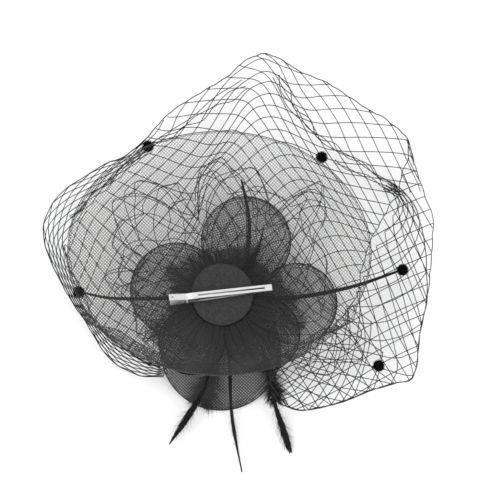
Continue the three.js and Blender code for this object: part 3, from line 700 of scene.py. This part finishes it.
def diamond_net(surface, columns, rows, thread, knot, steps_per_row):
    """Net of two families of threads on surface(along, across): a thread leans one half cell along for each
    half cell across, either way, and a knot sits where two meet. Columns and rows count whole cells."""
    bodies = []
    share = np.linspace(0, 1, rows * steps_per_row + 1)
    for lean in (1, -1):
        starts = np.arange(-rows, columns + rows + 1) if lean == 1 else np.arange(0, columns + 2 * rows + 1)
        first = np.clip(np.where(lean == 1, -starts / rows, (starts - columns) / rows), 0, 1)
        last = np.clip(np.where(lean == 1, (columns - starts) / rows, starts / rows), 0, 1)
        kept = last - first > 0.02
        place = first[kept, None] + (last - first)[kept, None] * share[None]
        along = (starts[kept, None] + lean * rows * place) / columns
        bodies.append(tubes(surface(np.clip(along, 0, 1), place), thread))
    column, row = np.meshgrid(np.arange(2 * columns + 1), np.arange(1, 2 * rows + 1), indexing="ij")
    even = (column + row) % 2 == 0
    spots = surface(column[even] / (2 * columns), row[even] / (2 * rows))
    bodies.append(knots(spots[far_out(spots) > KNOT_CLEAR], knot))
    return bodies


def clipped_net(place, outline, counts, run, thread, rise, clear=0.0):
    """Net of a flat sheet: threads at whole counts of either family through the map place, cut to an outline
    and to a clear circle round the axis, with a knot at each crossing inside."""

    def kept(plan):
        return within(plan, outline) & (far_out(plan) > clear)

    bodies = []
    shortest, every = 8, 5
    for count in counts:
        for lines in (place(count, run), place(run, count)):
            for first, last in held_runs(kept(lines), shortest):
                even = np.linspace(first, last - 1, max((last - first) // every, 4)).astype(int)
                bodies.append(tubes(raised(lines[even], rise)[None], thread))
    spots = place(*np.meshgrid(counts, counts, indexing="ij")).reshape(-1, 2)
    bodies.append(knots(raised(spots[kept(spots)], rise), KNOT * thread))
    return bodies


def barbs(kind, spine, length, rng):
    """Barbs along a spine: each leaves it sideways, leans forward and tapers, with a little random curl, and
    none dips below the ground."""
    start, end, count, lean, width, curl, jitter = BARBS[kind]
    sweep, tip, flatness = 0.22, 0.25, 0.45
    share = np.linspace(start, end, count)
    root = sampled(share, spine)
    ahead = unit(sampled(share, np.gradient(spine, axis=0)))
    side = unit(np.cross([0, 0, 1.0], ahead))
    reach = length(share)
    rows = []
    t = np.linspace(0, 1, 5)[None, :, None]
    for sign in (1, -1):
        tilt = lean + rng.normal(0, jitter, (count, 1, 1))
        across = np.cos(tilt) * sign * side[:, None] + np.sin(tilt) * ahead[:, None]
        bend = rng.normal(0, curl, (count, 1, 3)) * reach[:, None, None] * t ** 2
        forward = sweep * reach[:, None, None] * t ** 2 * ahead[:, None]
        rows.append(root[:, None] + across * t * reach[:, None, None] + bend + forward)
    paths = np.concatenate(rows)
    paths[..., 2] = np.maximum(paths[..., 2], 0.0)
    taper = width * np.linspace(1, tip, 5)[None]
    return tubes(paths, taper, taper * flatness, sides=3)


# Materials


def new_material(name):
    material = bpy.data.materials.new(name)
    material.use_nodes = True
    tree = material.node_tree
    return material, tree.nodes, tree.links, tree.nodes["Principled BSDF"]


def add_node(nodes, kind, **values):
    """A shader node with values on its inputs. Spaces in their names are written as underscores."""
    node = nodes.new("ShaderNode" + kind)
    for name, value in values.items():
        node.inputs[name.replace("_", " ")].default_value = value
    return node


def wire(links, *rows):
    """A link for each row of a node, its output, the next node and its input."""
    for source, output, target, entry in rows:
        links.new(source.outputs[output], target.inputs[entry])


def tone_group():
    """Shared effect: uneven dye. A noise on object places varies a colour's brightness by a share."""
    if "uneven dye" in bpy.data.node_groups:
        return bpy.data.node_groups["uneven dye"]
    group = bpy.data.node_groups.new("uneven dye", "ShaderNodeTree")
    for name, way, kind in (
        ("Colour", "INPUT", "Color"), ("Scale", "INPUT", "Float"), ("Share", "INPUT", "Float"),
        ("Colour", "OUTPUT", "Color"), ("Mask", "OUTPUT", "Float"),
    ):
        group.interface.new_socket(name, in_out=way, socket_type="NodeSocket" + kind)
    nodes = group.nodes
    start, end = nodes.new("NodeGroupInput"), nodes.new("NodeGroupOutput")
    place = add_node(nodes, "TexCoord")
    noise = add_node(nodes, "TexNoise", Detail=4)
    spread = add_node(nodes, "MapRange", From_Min=0.3, From_Max=0.7, To_Min=-1)
    factor = add_node(nodes, "Math")
    factor.operation = "MULTIPLY_ADD"
    factor.inputs[2].default_value = 1
    scaled = add_node(nodes, "VectorMath")
    scaled.operation = "SCALE"
    wire(
        group.links, (place, "Object", noise, "Vector"), (start, "Scale", noise, "Scale"),
        (noise, "Fac", spread, "Value"), (spread, "Result", factor, 0), (start, "Share", factor, 1),
        (start, "Colour", scaled, 0), (factor, "Value", scaled, "Scale"), (scaled, "Vector", end, "Colour"),
        (noise, "Fac", end, "Mask"),
    )
    return group


def tinted(nodes, links, shader, colour, scale, share):
    """Gives a shader a colour with uneven dye."""
    tone = nodes.new("ShaderNodeGroup")
    tone.node_tree = tone_group()
    for name, value in (("Colour", (*colour, 1)), ("Scale", scale), ("Share", share)):
        tone.inputs[name].default_value = value
    wire(links, (tone, "Colour", shader, "Base Color"))
    return tone


def dyed(name):
    """A dyed fibre of the DYES table: uneven dye in the colour, noise in the roughness and in a bump."""
    if name in bpy.data.materials:
        return bpy.data.materials[name]
    colour, roughness, scale, share, gloss, grain, depth = DYES[name]
    material, nodes, links, shader = new_material(name)
    tone = tinted(nodes, links, shader, getattr(colours(), colour), scale, share)
    rough = add_node(nodes, "MapRange", To_Min=roughness - 0.12, To_Max=roughness + 0.12)
    wire(links, (tone, "Mask", rough, "Value"), (rough, "Result", shader, "Roughness"))
    shader.inputs["Specular IOR Level"].default_value = gloss
    if depth:
        place = add_node(nodes, "TexCoord")
        fibres = add_node(nodes, "TexNoise", Scale=grain, Detail=6)
        bump = add_node(nodes, "Bump", Distance=depth, Strength=0.8)
        wire(links, (place, "Object", fibres, "Vector"), (fibres, "Fac", bump, "Height"),
             (bump, "Normal", shader, "Normal"))
    return material


def steel_material(name, share):
    """Nickelled steel with fine scratches along the clip in the roughness and bump, at a share of the
    steel's colour. A share below one is painted shade, a share above one painted light."""
    material, nodes, links, shader = new_material(name)
    tinted(nodes, links, shader, [part * share for part in colours().steel], 300, 0.06)
    shader.inputs["Metallic"].default_value = 1
    place = add_node(nodes, "TexCoord")
    turned = add_node(nodes, "Mapping", Rotation=(0, 0, math.radians(CLIP_LEAN)), Scale=(120, 9000, 9000))
    scratches = add_node(nodes, "TexNoise", Scale=1)
    rough = add_node(nodes, "MapRange", To_Min=0.1, To_Max=0.34)
    bump = add_node(nodes, "Bump", Distance=0.00002, Strength=0.5)
    wire(links, (place, "Object", turned, "Vector"), (turned, "Vector", scratches, "Vector"),
         (scratches, "Fac", rough, "Value"), (rough, "Result", shader, "Roughness"),
         (scratches, "Fac", bump, "Height"), (bump, "Normal", shader, "Normal"))
    return material


# Pieces


class HAT_OT_stage(bpy.types.Operator):
    """Pale floor, soft light and a camera that looks straight down"""
    bl_idname = "hat.stage"
    bl_label = "Stage"

    def execute(self, context):
        """The camera's lens makes the photograph's scale at a height between the ground and the brim."""
        bpy.ops.mesh.primitive_plane_add(size=6)
        floor = context.object
        floor.name = "floor"
        material, _, _, shader = new_material("pale floor")
        shader.inputs["Base Color"].default_value = (0.93, 0.93, 0.93, 1)
        shader.inputs["Roughness"].default_value = 0.9
        floor.data.materials.append(material)
        scene = context.scene
        scene.view_settings.view_transform = "Standard"
        world = bpy.data.worlds.new("soft room")
        world.use_nodes = True
        room = world.node_tree.nodes["Background"].inputs
        room["Color"].default_value = (1, 1, 1, 1)
        room["Strength"].default_value = 0.75
        scene.world = world
        for name, place, size, power in LAMPS:
            light = bpy.data.lights.new(name, "AREA")
            light.size = size
            light.energy = power
            lamp = bpy.data.objects.new(name, light)
            lamp.location = place
            lamp.rotation_mode = "QUATERNION"
            lamp.rotation_quaternion = (-lamp.location).to_track_quat("-Z", "Y")
            scene.collection.objects.link(lamp)
        camera = bpy.data.cameras.new("camera")
        camera.sensor_width = 36
        camera.lens = camera.sensor_width * (CAMERA_HEIGHT - SCALE_HEIGHT) / (PHOTO_SIDE * PIXEL)
        view = bpy.data.objects.new("camera", camera)
        right, down = (PHOTO_SIDE / 2 - place for place in FELT_PIXEL)
        view.location = (AXIS[0] + right * PIXEL, AXIS[1] - down * PIXEL, CAMERA_HEIGHT)
        scene.collection.objects.link(view)
        scene.camera = view
        return {"FINISHED"}


class HAT_OT_felt(bpy.types.Operator):
    """Felt disc with soft edges and a fringe of loose fibres"""
    bl_idname = "hat.felt"
    bl_label = "Felt disc"

    def execute(self, context):
        """The disc's profile is carried round the axis, and its radius and height vary by slow sines."""
        low, half, soft, count = FELT_TOP - FELT_WALL, FELT_WALL / 2, 0.9 / FELT_RADIUS, 700
        edge = np.radians(np.linspace(-90, 90, 9))
        out = np.concatenate([[0.05, 0.35, 0.7], 1 - soft + soft * np.cos(edge), [0.85, 0.6, 0.3, 0.05]])
        rise = np.concatenate([[0, 0, 0], half + half * np.sin(edge), np.full(4, FELT_WALL)])
        turn = np.linspace(0, 2 * np.pi, 128, endpoint=False)[:, None]
        wobble = 1 + 0.006 * np.sin(3 * turn + 1) + 0.004 * np.sin(7 * turn)
        height = low + rise + 0.05 * np.sin(5 * turn + 9 * out) * (rise > half)
        radius = FELT_RADIUS * out * np.where(out > 0.8, wobble, 1)
        disc = turned_body(polar(radius, np.degrees(turn), height))
        rng = np.random.default_rng(5)
        spots = np.degrees(rng.uniform(0, 2 * np.pi, count))
        height = low + rng.uniform(0.2, FELT_WALL, count)
        outward = unit(polar(1, spots, 0) + rng.normal(0, 0.5, (count, 3)))
        share = np.linspace(0, 1, 4)[None, :, None]
        curl = rng.normal(0, 0.18, (count, 1, 3)) * share ** 2
        reach = rng.uniform(0.4, 1.0, (count, 1, 1))
        fibres = polar(FELT_RADIUS * 0.985, spots, height)[:, None] + outward[:, None] * share * reach + curl
        fringe = tubes(fibres, np.linspace(0.05, 0.015, 4)[None], sides=3)
        add_piece("felt_disc", *joined(disc, fringe), dyed("pressed felt"), "felt", ["felt_base"])
        return {"FINISHED"}


class HAT_OT_brim(bpy.types.Operator):
    """Brim of fine crinoline mesh with its lower rim rolled under"""
    bl_idname = "hat.brim"
    bl_label = "Brim"

    def execute(self, context):
        """Two families of straight threads on the flat cloth are carried onto the brim surface. They thicken
        to the lower left as painted shade and thin over two dots, and two more families double them where the
        rim rolls."""
        pitch = sizes().crin_pitch / MM
        width, height = sizes().brim_thread / MM, sizes().brim_thread_height / MM
        turn = np.linspace(0, 2 * np.pi, 720, endpoint=False)
        edge = brim_edge(turn) - BRIM_SHIFT
        order = np.argsort(turn_of(edge))
        edge_turn, edge_reach = turn_of(edge)[order], far_out(edge)[order]

        def share_out(away):
            """Share of the way from the brim's middle to its edge."""
            return far_out(away) / np.interp(turn_of(away), edge_turn, edge_reach, period=2 * np.pi)

        def inside(places):
            return share_out(places - BRIM_SHIFT) < 1

        def rolled(places):
            away = places - BRIM_SHIFT
            share, turned = share_out(away), np.degrees(turn_of(away))
            deepest = 0.15
            depth = deepest * smooth(turned, -138, -112) * smooth(-turned, 36, 60)
            return (share < 0.995) & (share > 1 - depth)

        bodies = []
        for direction, lift in BRIM_THREADS:
            lines = straight_threads(direction, pitch, BRIM_SHIFT, BRIM_SPAN, inside, 64)
            places = brim_surface(lines)
            places[..., 2] += lift
            # The threads thicken towards the lower left: painted shade on the brim's lower left.
            lower_left = -(places @ [0.8, 0.6, 0.0])
            thicker = 1 + 0.85 * smooth(lower_left, -10, 70)
            for dot in ("veil_dot_1", "veil_dot_3"):
                square = np.sum((lines - dot_place(dot)[0][:2]) ** 2, -1)
                thicker *= 1 - 0.8 * np.exp(-square / 14)
            bodies.append(tubes(places, width * thicker, height))
        for direction in ROLL_THREADS:
            for line in straight_threads(direction, pitch, BRIM_SHIFT, BRIM_SPAN, inside, 160):
                for first, last in held_runs(rolled(line), 4):
                    bodies.append(tubes(brim_surface(line[first:last])[None], 2 * width, height))
        for share, size, sides in ((1.0, 0.55, 5), (0.82, 0.3, 4)):
            hem = brim_surface(brim_edge(turn[None, ::2], share))
            bodies.append(tubes(hem, size, sides=sides, closed=True))
        piece = add_piece("brim", *joined(*bodies), dyed("brim crinoline"), "crin", ["brim_disc"])
        return {"FINISHED"}


class HAT_OT_petals(bpy.types.Operator):
    """Six cupped crinoline petals with a hemmed edge, five of two layers and the bottom one of one"""
    bl_idname = "hat.petals"
    bl_label = "Petals"

    def execute(self, context):
        """Straight threads cut to the lobe circle and the wedge to the core, lifted onto the petal surface.
        The petals that don't rest on the ground also have gathers that fan out from the core."""
        for name, (angle, centre, lobe, _, rests, direction, pitch, layers, share) in PETALS.items():
            thread = sizes().petal_thread / MM * share
            ahead = polar(1.0, angle, 0.0)[:2]
            aside = leftward(ahead)
            far, radius = centre * FLOWER_RADIUS, lobe * FLOWER_RADIUS
            middle = far * ahead

            def inside(places):
                along, off = places @ ahead, np.abs(places @ aside)
                root = CORE_RADIUS * math.sin(math.radians(PETAL_ROOT_ARC))
                wedge = root + (radius * 0.94 - root) * np.clip(along / far, 0, 1)
                in_wedge = (along > 6) & (along < far) & (off < wedge)
                return (far_out(places - middle) < radius) & (along > 4) | in_wedge

            bodies = []
            for turned, rise in ((0, 0.35), (90, 0.43), (11, -0.35), (101, -0.27))[:2 * layers]:
                lines = straight_threads(direction + turned, pitch, middle, radius * 1.7, inside, 22)
                finer = 1.3 - 0.6 * smooth(lines @ ahead, 20, far + radius) if layers > 1 else 1
                bodies.append(tubes(petal_surface(name, lines, rise), thread * finer))
            hem = (dyed("gathered cloth"), sum(len(block) for _, blocks in bodies for block in blocks))
            rim = radius * polar(1.0, np.linspace(angle - 138, angle + 138, 120), 0.0)[:, :2]
            for share, size in ((1.0, 0.8), (0.965, 0.4), (0.9, 0.35)):
                bodies.append(tubes(petal_surface(name, middle + rim[None] * share), size, sides=5))
            if not rests:
                fan, share = np.linspace(-0.8, 0.8, 8)[:, None], np.linspace(0, 1, 24)[None]
                fan = fan + 0.07 * np.sin(23 * fan + angle)
                along = CORE_RADIUS + 1 + share * (0.7 + 0.3 * np.cos(9 * fan)) * far
                off = fan * radius * along / far + 1.2 * np.sin(along / 6 + 5 * fan)
                gathers = petal_surface(name, along[..., None] * ahead + off[..., None] * aside, 0.5)
                bodies.append(tubes(gathers, 1.1 * (1.02 - share), 0.4, sides=5))
            title = name.replace("petal", "mesh_petal")
            piece = add_piece(title, *joined(*bodies), dyed("crinoline"), "crin", [name], hem)
            grid = np.stack(np.meshgrid(*[np.arange(-120, 120)] * 2), -1)
            lobe_area = inside(grid).sum() * MM ** 2
        return {"FINISHED"}


class HAT_OT_core(bpy.types.Operator):
    """Core of gathered cloth with pleats and a rounded nose"""
    bl_idname = "hat.core"
    bl_label = "Core"

    def execute(self, context):
        """A turned profile whose radius ripples in pleats round the axis, and a dark roll of cloth below the
        felt's rim, thickest towards the bottom petal, that is painted shadow where the felt's lower edge
        stands off the mesh."""
        top, low = layer_height("brim") - CLOTH_WALL / 2 - SEAT_GAP, ROOT_HEIGHT - 16
        rise = np.array([0, 0.03, 0.1, 0.2, 0.35, 0.5, 0.7, 0.85, 1.0])
        out = np.array([0.02, 0.45, 0.75, 0.92, 0.98, 0.97, 0.96, 0.97, 0.97])
        turn = np.linspace(0, 2 * np.pi, 168, endpoint=False)[:, None]
        pleat = 0.03 * np.sin(28 * turn + 2 * np.sin(3 * turn)) * smooth(rise, 0, 0.2)
        core = turned_body(polar(CORE_RADIUS * (out + pleat), np.degrees(turn), low + (top - low) * rise))
        # The roll under the felt's rim is painted shadow: near-black cloth, thickest in the lower half, where
        # the felt's edge casts shade on the mesh.
        turn = np.linspace(0, 360, 96, endpoint=False)
        thick = 0.3 + 1.5 * smooth(-np.sin(np.radians(turn)), -0.2, 0.4)
        roll = polar(FELT_RADIUS - 0.2, turn, FELT_TOP - FELT_WALL - 0.1)
        body = joined(core, tubes(roll[None], thick[None], 0.8, sides=8, closed=True))
        add_piece("gathered_core", *body, dyed("gathered cloth"), "crin", ["flower_core"])
        return {"FINISHED"}


class HAT_OT_hackles(bpy.types.Operator):
    """Pad of short feathers round the core"""
    bl_idname = "hat.hackles"
    bl_label = "Hackle pad"

    def execute(self, context):
        """Short feathers leave the core near the table's angles, follow the pad's fall and end at the table's
        places. Shorter ones with wider barbs fill the gaps between them."""
        rng = np.random.default_rng(11)
        bodies = []
        under = [(angle + 9, min(0.72 * reach, 30)) for angle, reach in HACKLES]
        for k, (angle, reach) in enumerate(list(HACKLES) + under):
            radius = np.linspace(CORE_RADIUS, reach, 24)
            turn = angle + rng.normal(0, 6) * (1 - (radius - CORE_RADIUS) / (reach - CORE_RADIUS)) ** 2
            lift = (k % 3 - 1) * 0.4 * smooth(radius, 9, 20)
            spine = polar(radius, turn, layer_height("pad") - fall(radius) + lift)
            bodies.append(tubes(spine[None], np.linspace(0.7, 0.15, 24)[None]))

            def vane(share):
                grown = np.sin(np.pi * np.clip(share, 0, 1) ** 0.85) ** 0.7
                return np.minimum(0.3 * reach * grown, 0.78 * reach * (1 - share)) + 0.4

            bodies.append(barbs("hackle" if k < len(HACKLES) else "filler", spine, vane, rng))
        add_piece("hackles", *joined(*bodies), dyed("short feather"), "feather", ["hackle_pad"])
        return {"FINISHED"}


class HAT_OT_quills(bpy.types.Operator):
    """Stripped quills and a small curved feather"""
    bl_idname = "hat.quills"
    bl_label = "Quills"

    def execute(self, context):
        """A smooth curve through the route and up to the quill's dot, if it has one, with a width that tapers
        to the tip."""
        rng = np.random.default_rng(21)
        for name, (route, base, dot) in QUILLS.items():
            points = [polar(s * VEIL_REACH, a, layer_height("quill") - d * ROOT_HEIGHT) for a, s, d in route]
            if dot:
                centre, radius = dot_place(dot)
                points.append(centre + unit(points[-1] - centre) * radius * 0.8)
            spine, share = catmull(points, 60), np.linspace(0, 1, 60)
            width = base * (1 - 0.5 * share ** 2) * (1 - smooth(share, 0.97, 1.03))
            bodies = [tubes(spine[None], width[None], width[None] * 0.8, sides=8)]
            if name == "feather_top_small":
                bodies.append(barbs("small vane", spine, lambda s: 2.4 * np.sin(np.pi * s), rng))
                bodies.append(barbs("strands", spine, lambda s: 7 * (1 - s), rng))
            else:
                bodies.append(barbs("stubble", spine, lambda s: 0.9 + 0 * s, rng))
            add_piece(name + "_shaft", *joined(*bodies), dyed("glossy feather"), "feather", [name])
        return {"FINISHED"}


class HAT_OT_tails(bpy.types.Operator):
    """Tail feathers below the flower, with downy barbs at their roots"""
    bl_idname = "hat.tails"
    bl_label = "Tail feathers"

    def execute(self, context):
        """Close barbs make the vane, widest part way along, and a tuft of longer curly ones below the bottom
        petal makes the down."""
        rng = np.random.default_rng(31)
        for name, (route, half, widest, thick, fluff) in TAILS.items():
            points = []
            for angle, along, height in route:
                radius = max(along * VEIL_REACH, CORE_RADIUS + SEAT_GAP)
                on_flower = layer_height("feather") - fall(radius)
                points.append(polar(radius, angle, height * ROOT_HEIGHT if height else on_flower))
            spine = catmull(points, 80)
            radius = far_out(spine)
            below = ROOT_HEIGHT - 0.7 * LAYER_STEP - fall(radius)
            spine[:, 2] = below + (spine[:, 2] - below) * smooth(radius, *TAIL_THROUGH)
            width = thick * (1 - 0.7 * np.linspace(0, 1, 80))
            bodies = [tubes(spine[None], width[None], width[None] * 0.8, sides=6)]

            def vane(share):
                grown = 0.1 + 0.9 * np.exp(-((share - widest) / 0.18) ** 2)
                return half * grown * (1 - smooth(share, 0.93, 1.08))

            bodies += [barbs("vane", spine, vane, rng), barbs("loose", spine, lambda s: 1.5 * vane(s), rng)]
            if fluff:
                turned, longest, start, end = fluff
                radius = np.linspace(start, end, 40)
                angle = np.interp(radius, [a * VEIL_REACH for _, a, _ in route], [t for t, _, _ in route])
                under = petal_surface("petal_bottom", polar(radius, angle + turned, 0.0)[:, :2], -1.6)
                under[:, 2] = np.maximum(under[:, 2], 0.2)

                def tuft(share):
                    grown = 0.35 + 0.65 * np.sin(np.pi * share ** 1.6)
                    return longest * grown * rng.uniform(0.6, 1, len(share))

                bodies.append(barbs("down", under, tuft, rng))
            add_piece(name + "_vane", *joined(*bodies), dyed("glossy feather"), "feather", [name])
        return {"FINISHED"}


class HAT_OT_veil(bpy.types.Operator):
    """Veil net and its inner ruffle"""
    bl_idname = "hat.veil"
    bl_label = "Veil"

    def execute(self, context):
        """The flat parts are two families of threads cut to an outline, and the folded sides are strips of
        net between two routes."""
        cell, thread = sizes().net_cell / MM, sizes().net_thread / MM
        below = ((120, 68), (121, 62)) + RIGHT_IN[4:13] + ((0, -30), (-34.5, -45.6))
        outline = np.array(TOP_OUT + below + LEFT_IN[::-1])
        counts, run = np.arange(-6, 29), np.linspace(-6, 28, 700)
        bodies = clipped_net(warp(TOP_SHEET), outline, counts, run, thread, 0.0, NET_CLEAR)
        bodies.append(tubes(scalloped(TOP_OUT, 20, 0.4, 0.0)[None], thread * 1.4, sides=5))
        counts, run = np.arange(-20, 21), np.linspace(-20, 20, 820)
        outline = np.concatenate([catmull(RIGHT_OUT, 120), catmull(RIGHT_IN[::-1], 120)])
        bodies += clipped_net(leaning, outline, counts, run, thread, FRONT_RISE)
        for outer, inner, rows, step, rise, swell, bulge in STRIPS:
            columns = round(route_length(outer) / step)
            strip = strip_surface(outer, inner, rise, swell)
            bodies += diamond_net(strip, columns, rows, thread, KNOT * thread, 8)
            bodies.append(tubes(scalloped(outer, columns, bulge, rise)[None], thread * 1.3, sides=5))
        for route, out in ((RIGHT_IN, -1.0), (RIGHT_OUT, 1.0)):
            columns = round(route_length(route) / cell)
            bodies.append(tubes(scalloped(route, columns, 0.5, FRONT_RISE, out)[None], thread * 1.2, sides=5))
        for reaches, apart, route in FOLDS:
            bodies.append(tubes(bunched(reaches, apart, route), thread))
        add_piece("veil_net", *joined(*bodies), dyed("net thread"), "net", ["veil_outer"])
        arc = RUFFLE_REACH * math.radians(RUFFLE_ANGLES[1] - RUFFLE_ANGLES[0])
        bodies = diamond_net(ruffle_surface, round(0.62 * arc / cell), 6, 0.9 * thread, 1.9 * thread, 7)
        add_piece("ruffle_net", *joined(*bodies), dyed("net thread"), "net", ["veil_ruffle"])
        return {"FINISHED"}


class HAT_OT_dots(bpy.types.Operator):
    """Chenille dots on the veil"""
    bl_idname = "hat.dots"
    bl_label = "Dots"

    def execute(self, context):
        """A wound bobble: short fibres stand out of a rough ball in every direction, at even turns of the
        golden angle."""
        rng = np.random.default_rng(41)
        count = 900
        step = np.arange(count)
        rise = 1 - (2 * step + 1) / count
        golden = np.degrees(step * np.pi * (3 - math.sqrt(5)))
        start = 0.35
        share = np.linspace(start, 1, 4)[None, :, None]
        turn = np.linspace(0, 2 * np.pi, 24, endpoint=False)[:, None]
        lean = np.linspace(0.02, np.pi - 0.02, 13)
        rough = 0.78 * (1 + 0.06 * np.sin(5 * turn) * np.sin(4 * lean))
        for k in range(1, 6):
            centre, radius = dot_place(f"veil_dot_{k}")
            radius *= 1.14
            ray = polar(np.sqrt(1 - rise ** 2), golden, rise)
            ray = unit(ray + rng.normal(0, 0.12, ray.shape))
            reach = rng.uniform(0.86, 1.0, (count, 1, 1))
            bend = rng.normal(0, 0.16, (count, 1, 3)) * (share - start) ** 2
            paths = centre + radius * (ray[:, None] * share * reach + bend)
            shell = centre + radius * rough[..., None] * polar(np.sin(lean), np.degrees(turn), -np.cos(lean))
            body = joined(turned_body(shell), tubes(paths, np.linspace(0.3, 0.12, 4)[None], sides=3))
            add_piece(f"chenille_dot_{k}", *body, dyed("wound chenille"), "chenille", [f"veil_dot_{k}"])
        return {"FINISHED"}


class HAT_OT_clip(bpy.types.Operator):
    """Bright steel on the fork clip"""
    bl_idname = "hat.clip"
    bl_label = "Clip"

    def execute(self, context):
        """The frame's own solids get a steel material each: the jaw's is a darker copy as painted shade under
        the arm, the arm's is a lighter copy as painted light, and the pin's is the plain steel.
        """
        # The shares paint light and shade on one steel: 0.5 darkens the jaw as painted shade, 1.2 lightens
        # the arm as painted light.
        for name, share in (("clip_jaw", 0.5), ("clip_arm", 1.2), ("clip_pin", 1.0)):
            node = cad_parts[name]
            node.data.materials.clear()
            node.data.materials.append(steel_material(f"steel of {name}", share))
        return {"FINISHED"}


class HAT_PT_panel(bpy.types.Panel):
    """The hat's sizes, colours and pieces"""
    bl_idname = "HAT_PT_panel"
    bl_label = "Fascinator"
    bl_space_type = "VIEW_3D"
    bl_region_type = "UI"
    bl_category = "Fascinator"

    def draw(self, context):
        for group in (context.scene.hat_sizes, context.scene.hat_colours):
            for name in group.__annotations__:
                self.layout.prop(group, name)
        for piece in PIECES:
            self.layout.operator(piece.bl_idname)


PIECES = (HAT_OT_stage, HAT_OT_felt, HAT_OT_brim, HAT_OT_petals, HAT_OT_core, HAT_OT_hackles, HAT_OT_quills,
          HAT_OT_tails, HAT_OT_veil, HAT_OT_dots, HAT_OT_clip)
CLASSES = (HatSizes, HatColours, *PIECES, HAT_PT_panel)


def register():
    for item in CLASSES:
        bpy.utils.register_class(item)
    bpy.types.Scene.hat_sizes = PointerProperty(type=HatSizes)
    bpy.types.Scene.hat_colours = PointerProperty(type=HatColours)


def unregister():
    del bpy.types.Scene.hat_colours
    del bpy.types.Scene.hat_sizes
    for item in reversed(CLASSES):
        bpy.utils.unregister_class(item)


def main():
    register()
    bpy.ops.hat.stage()
    bpy.ops.hat.felt()
    bpy.ops.hat.brim()
    bpy.ops.hat.petals()
    bpy.ops.hat.core()
    bpy.ops.hat.hackles()
    bpy.ops.hat.quills()
    bpy.ops.hat.tails()
    bpy.ops.hat.veil()
    bpy.ops.hat.dots()
    bpy.ops.hat.clip()


if __name__ == "__main__":
    main()
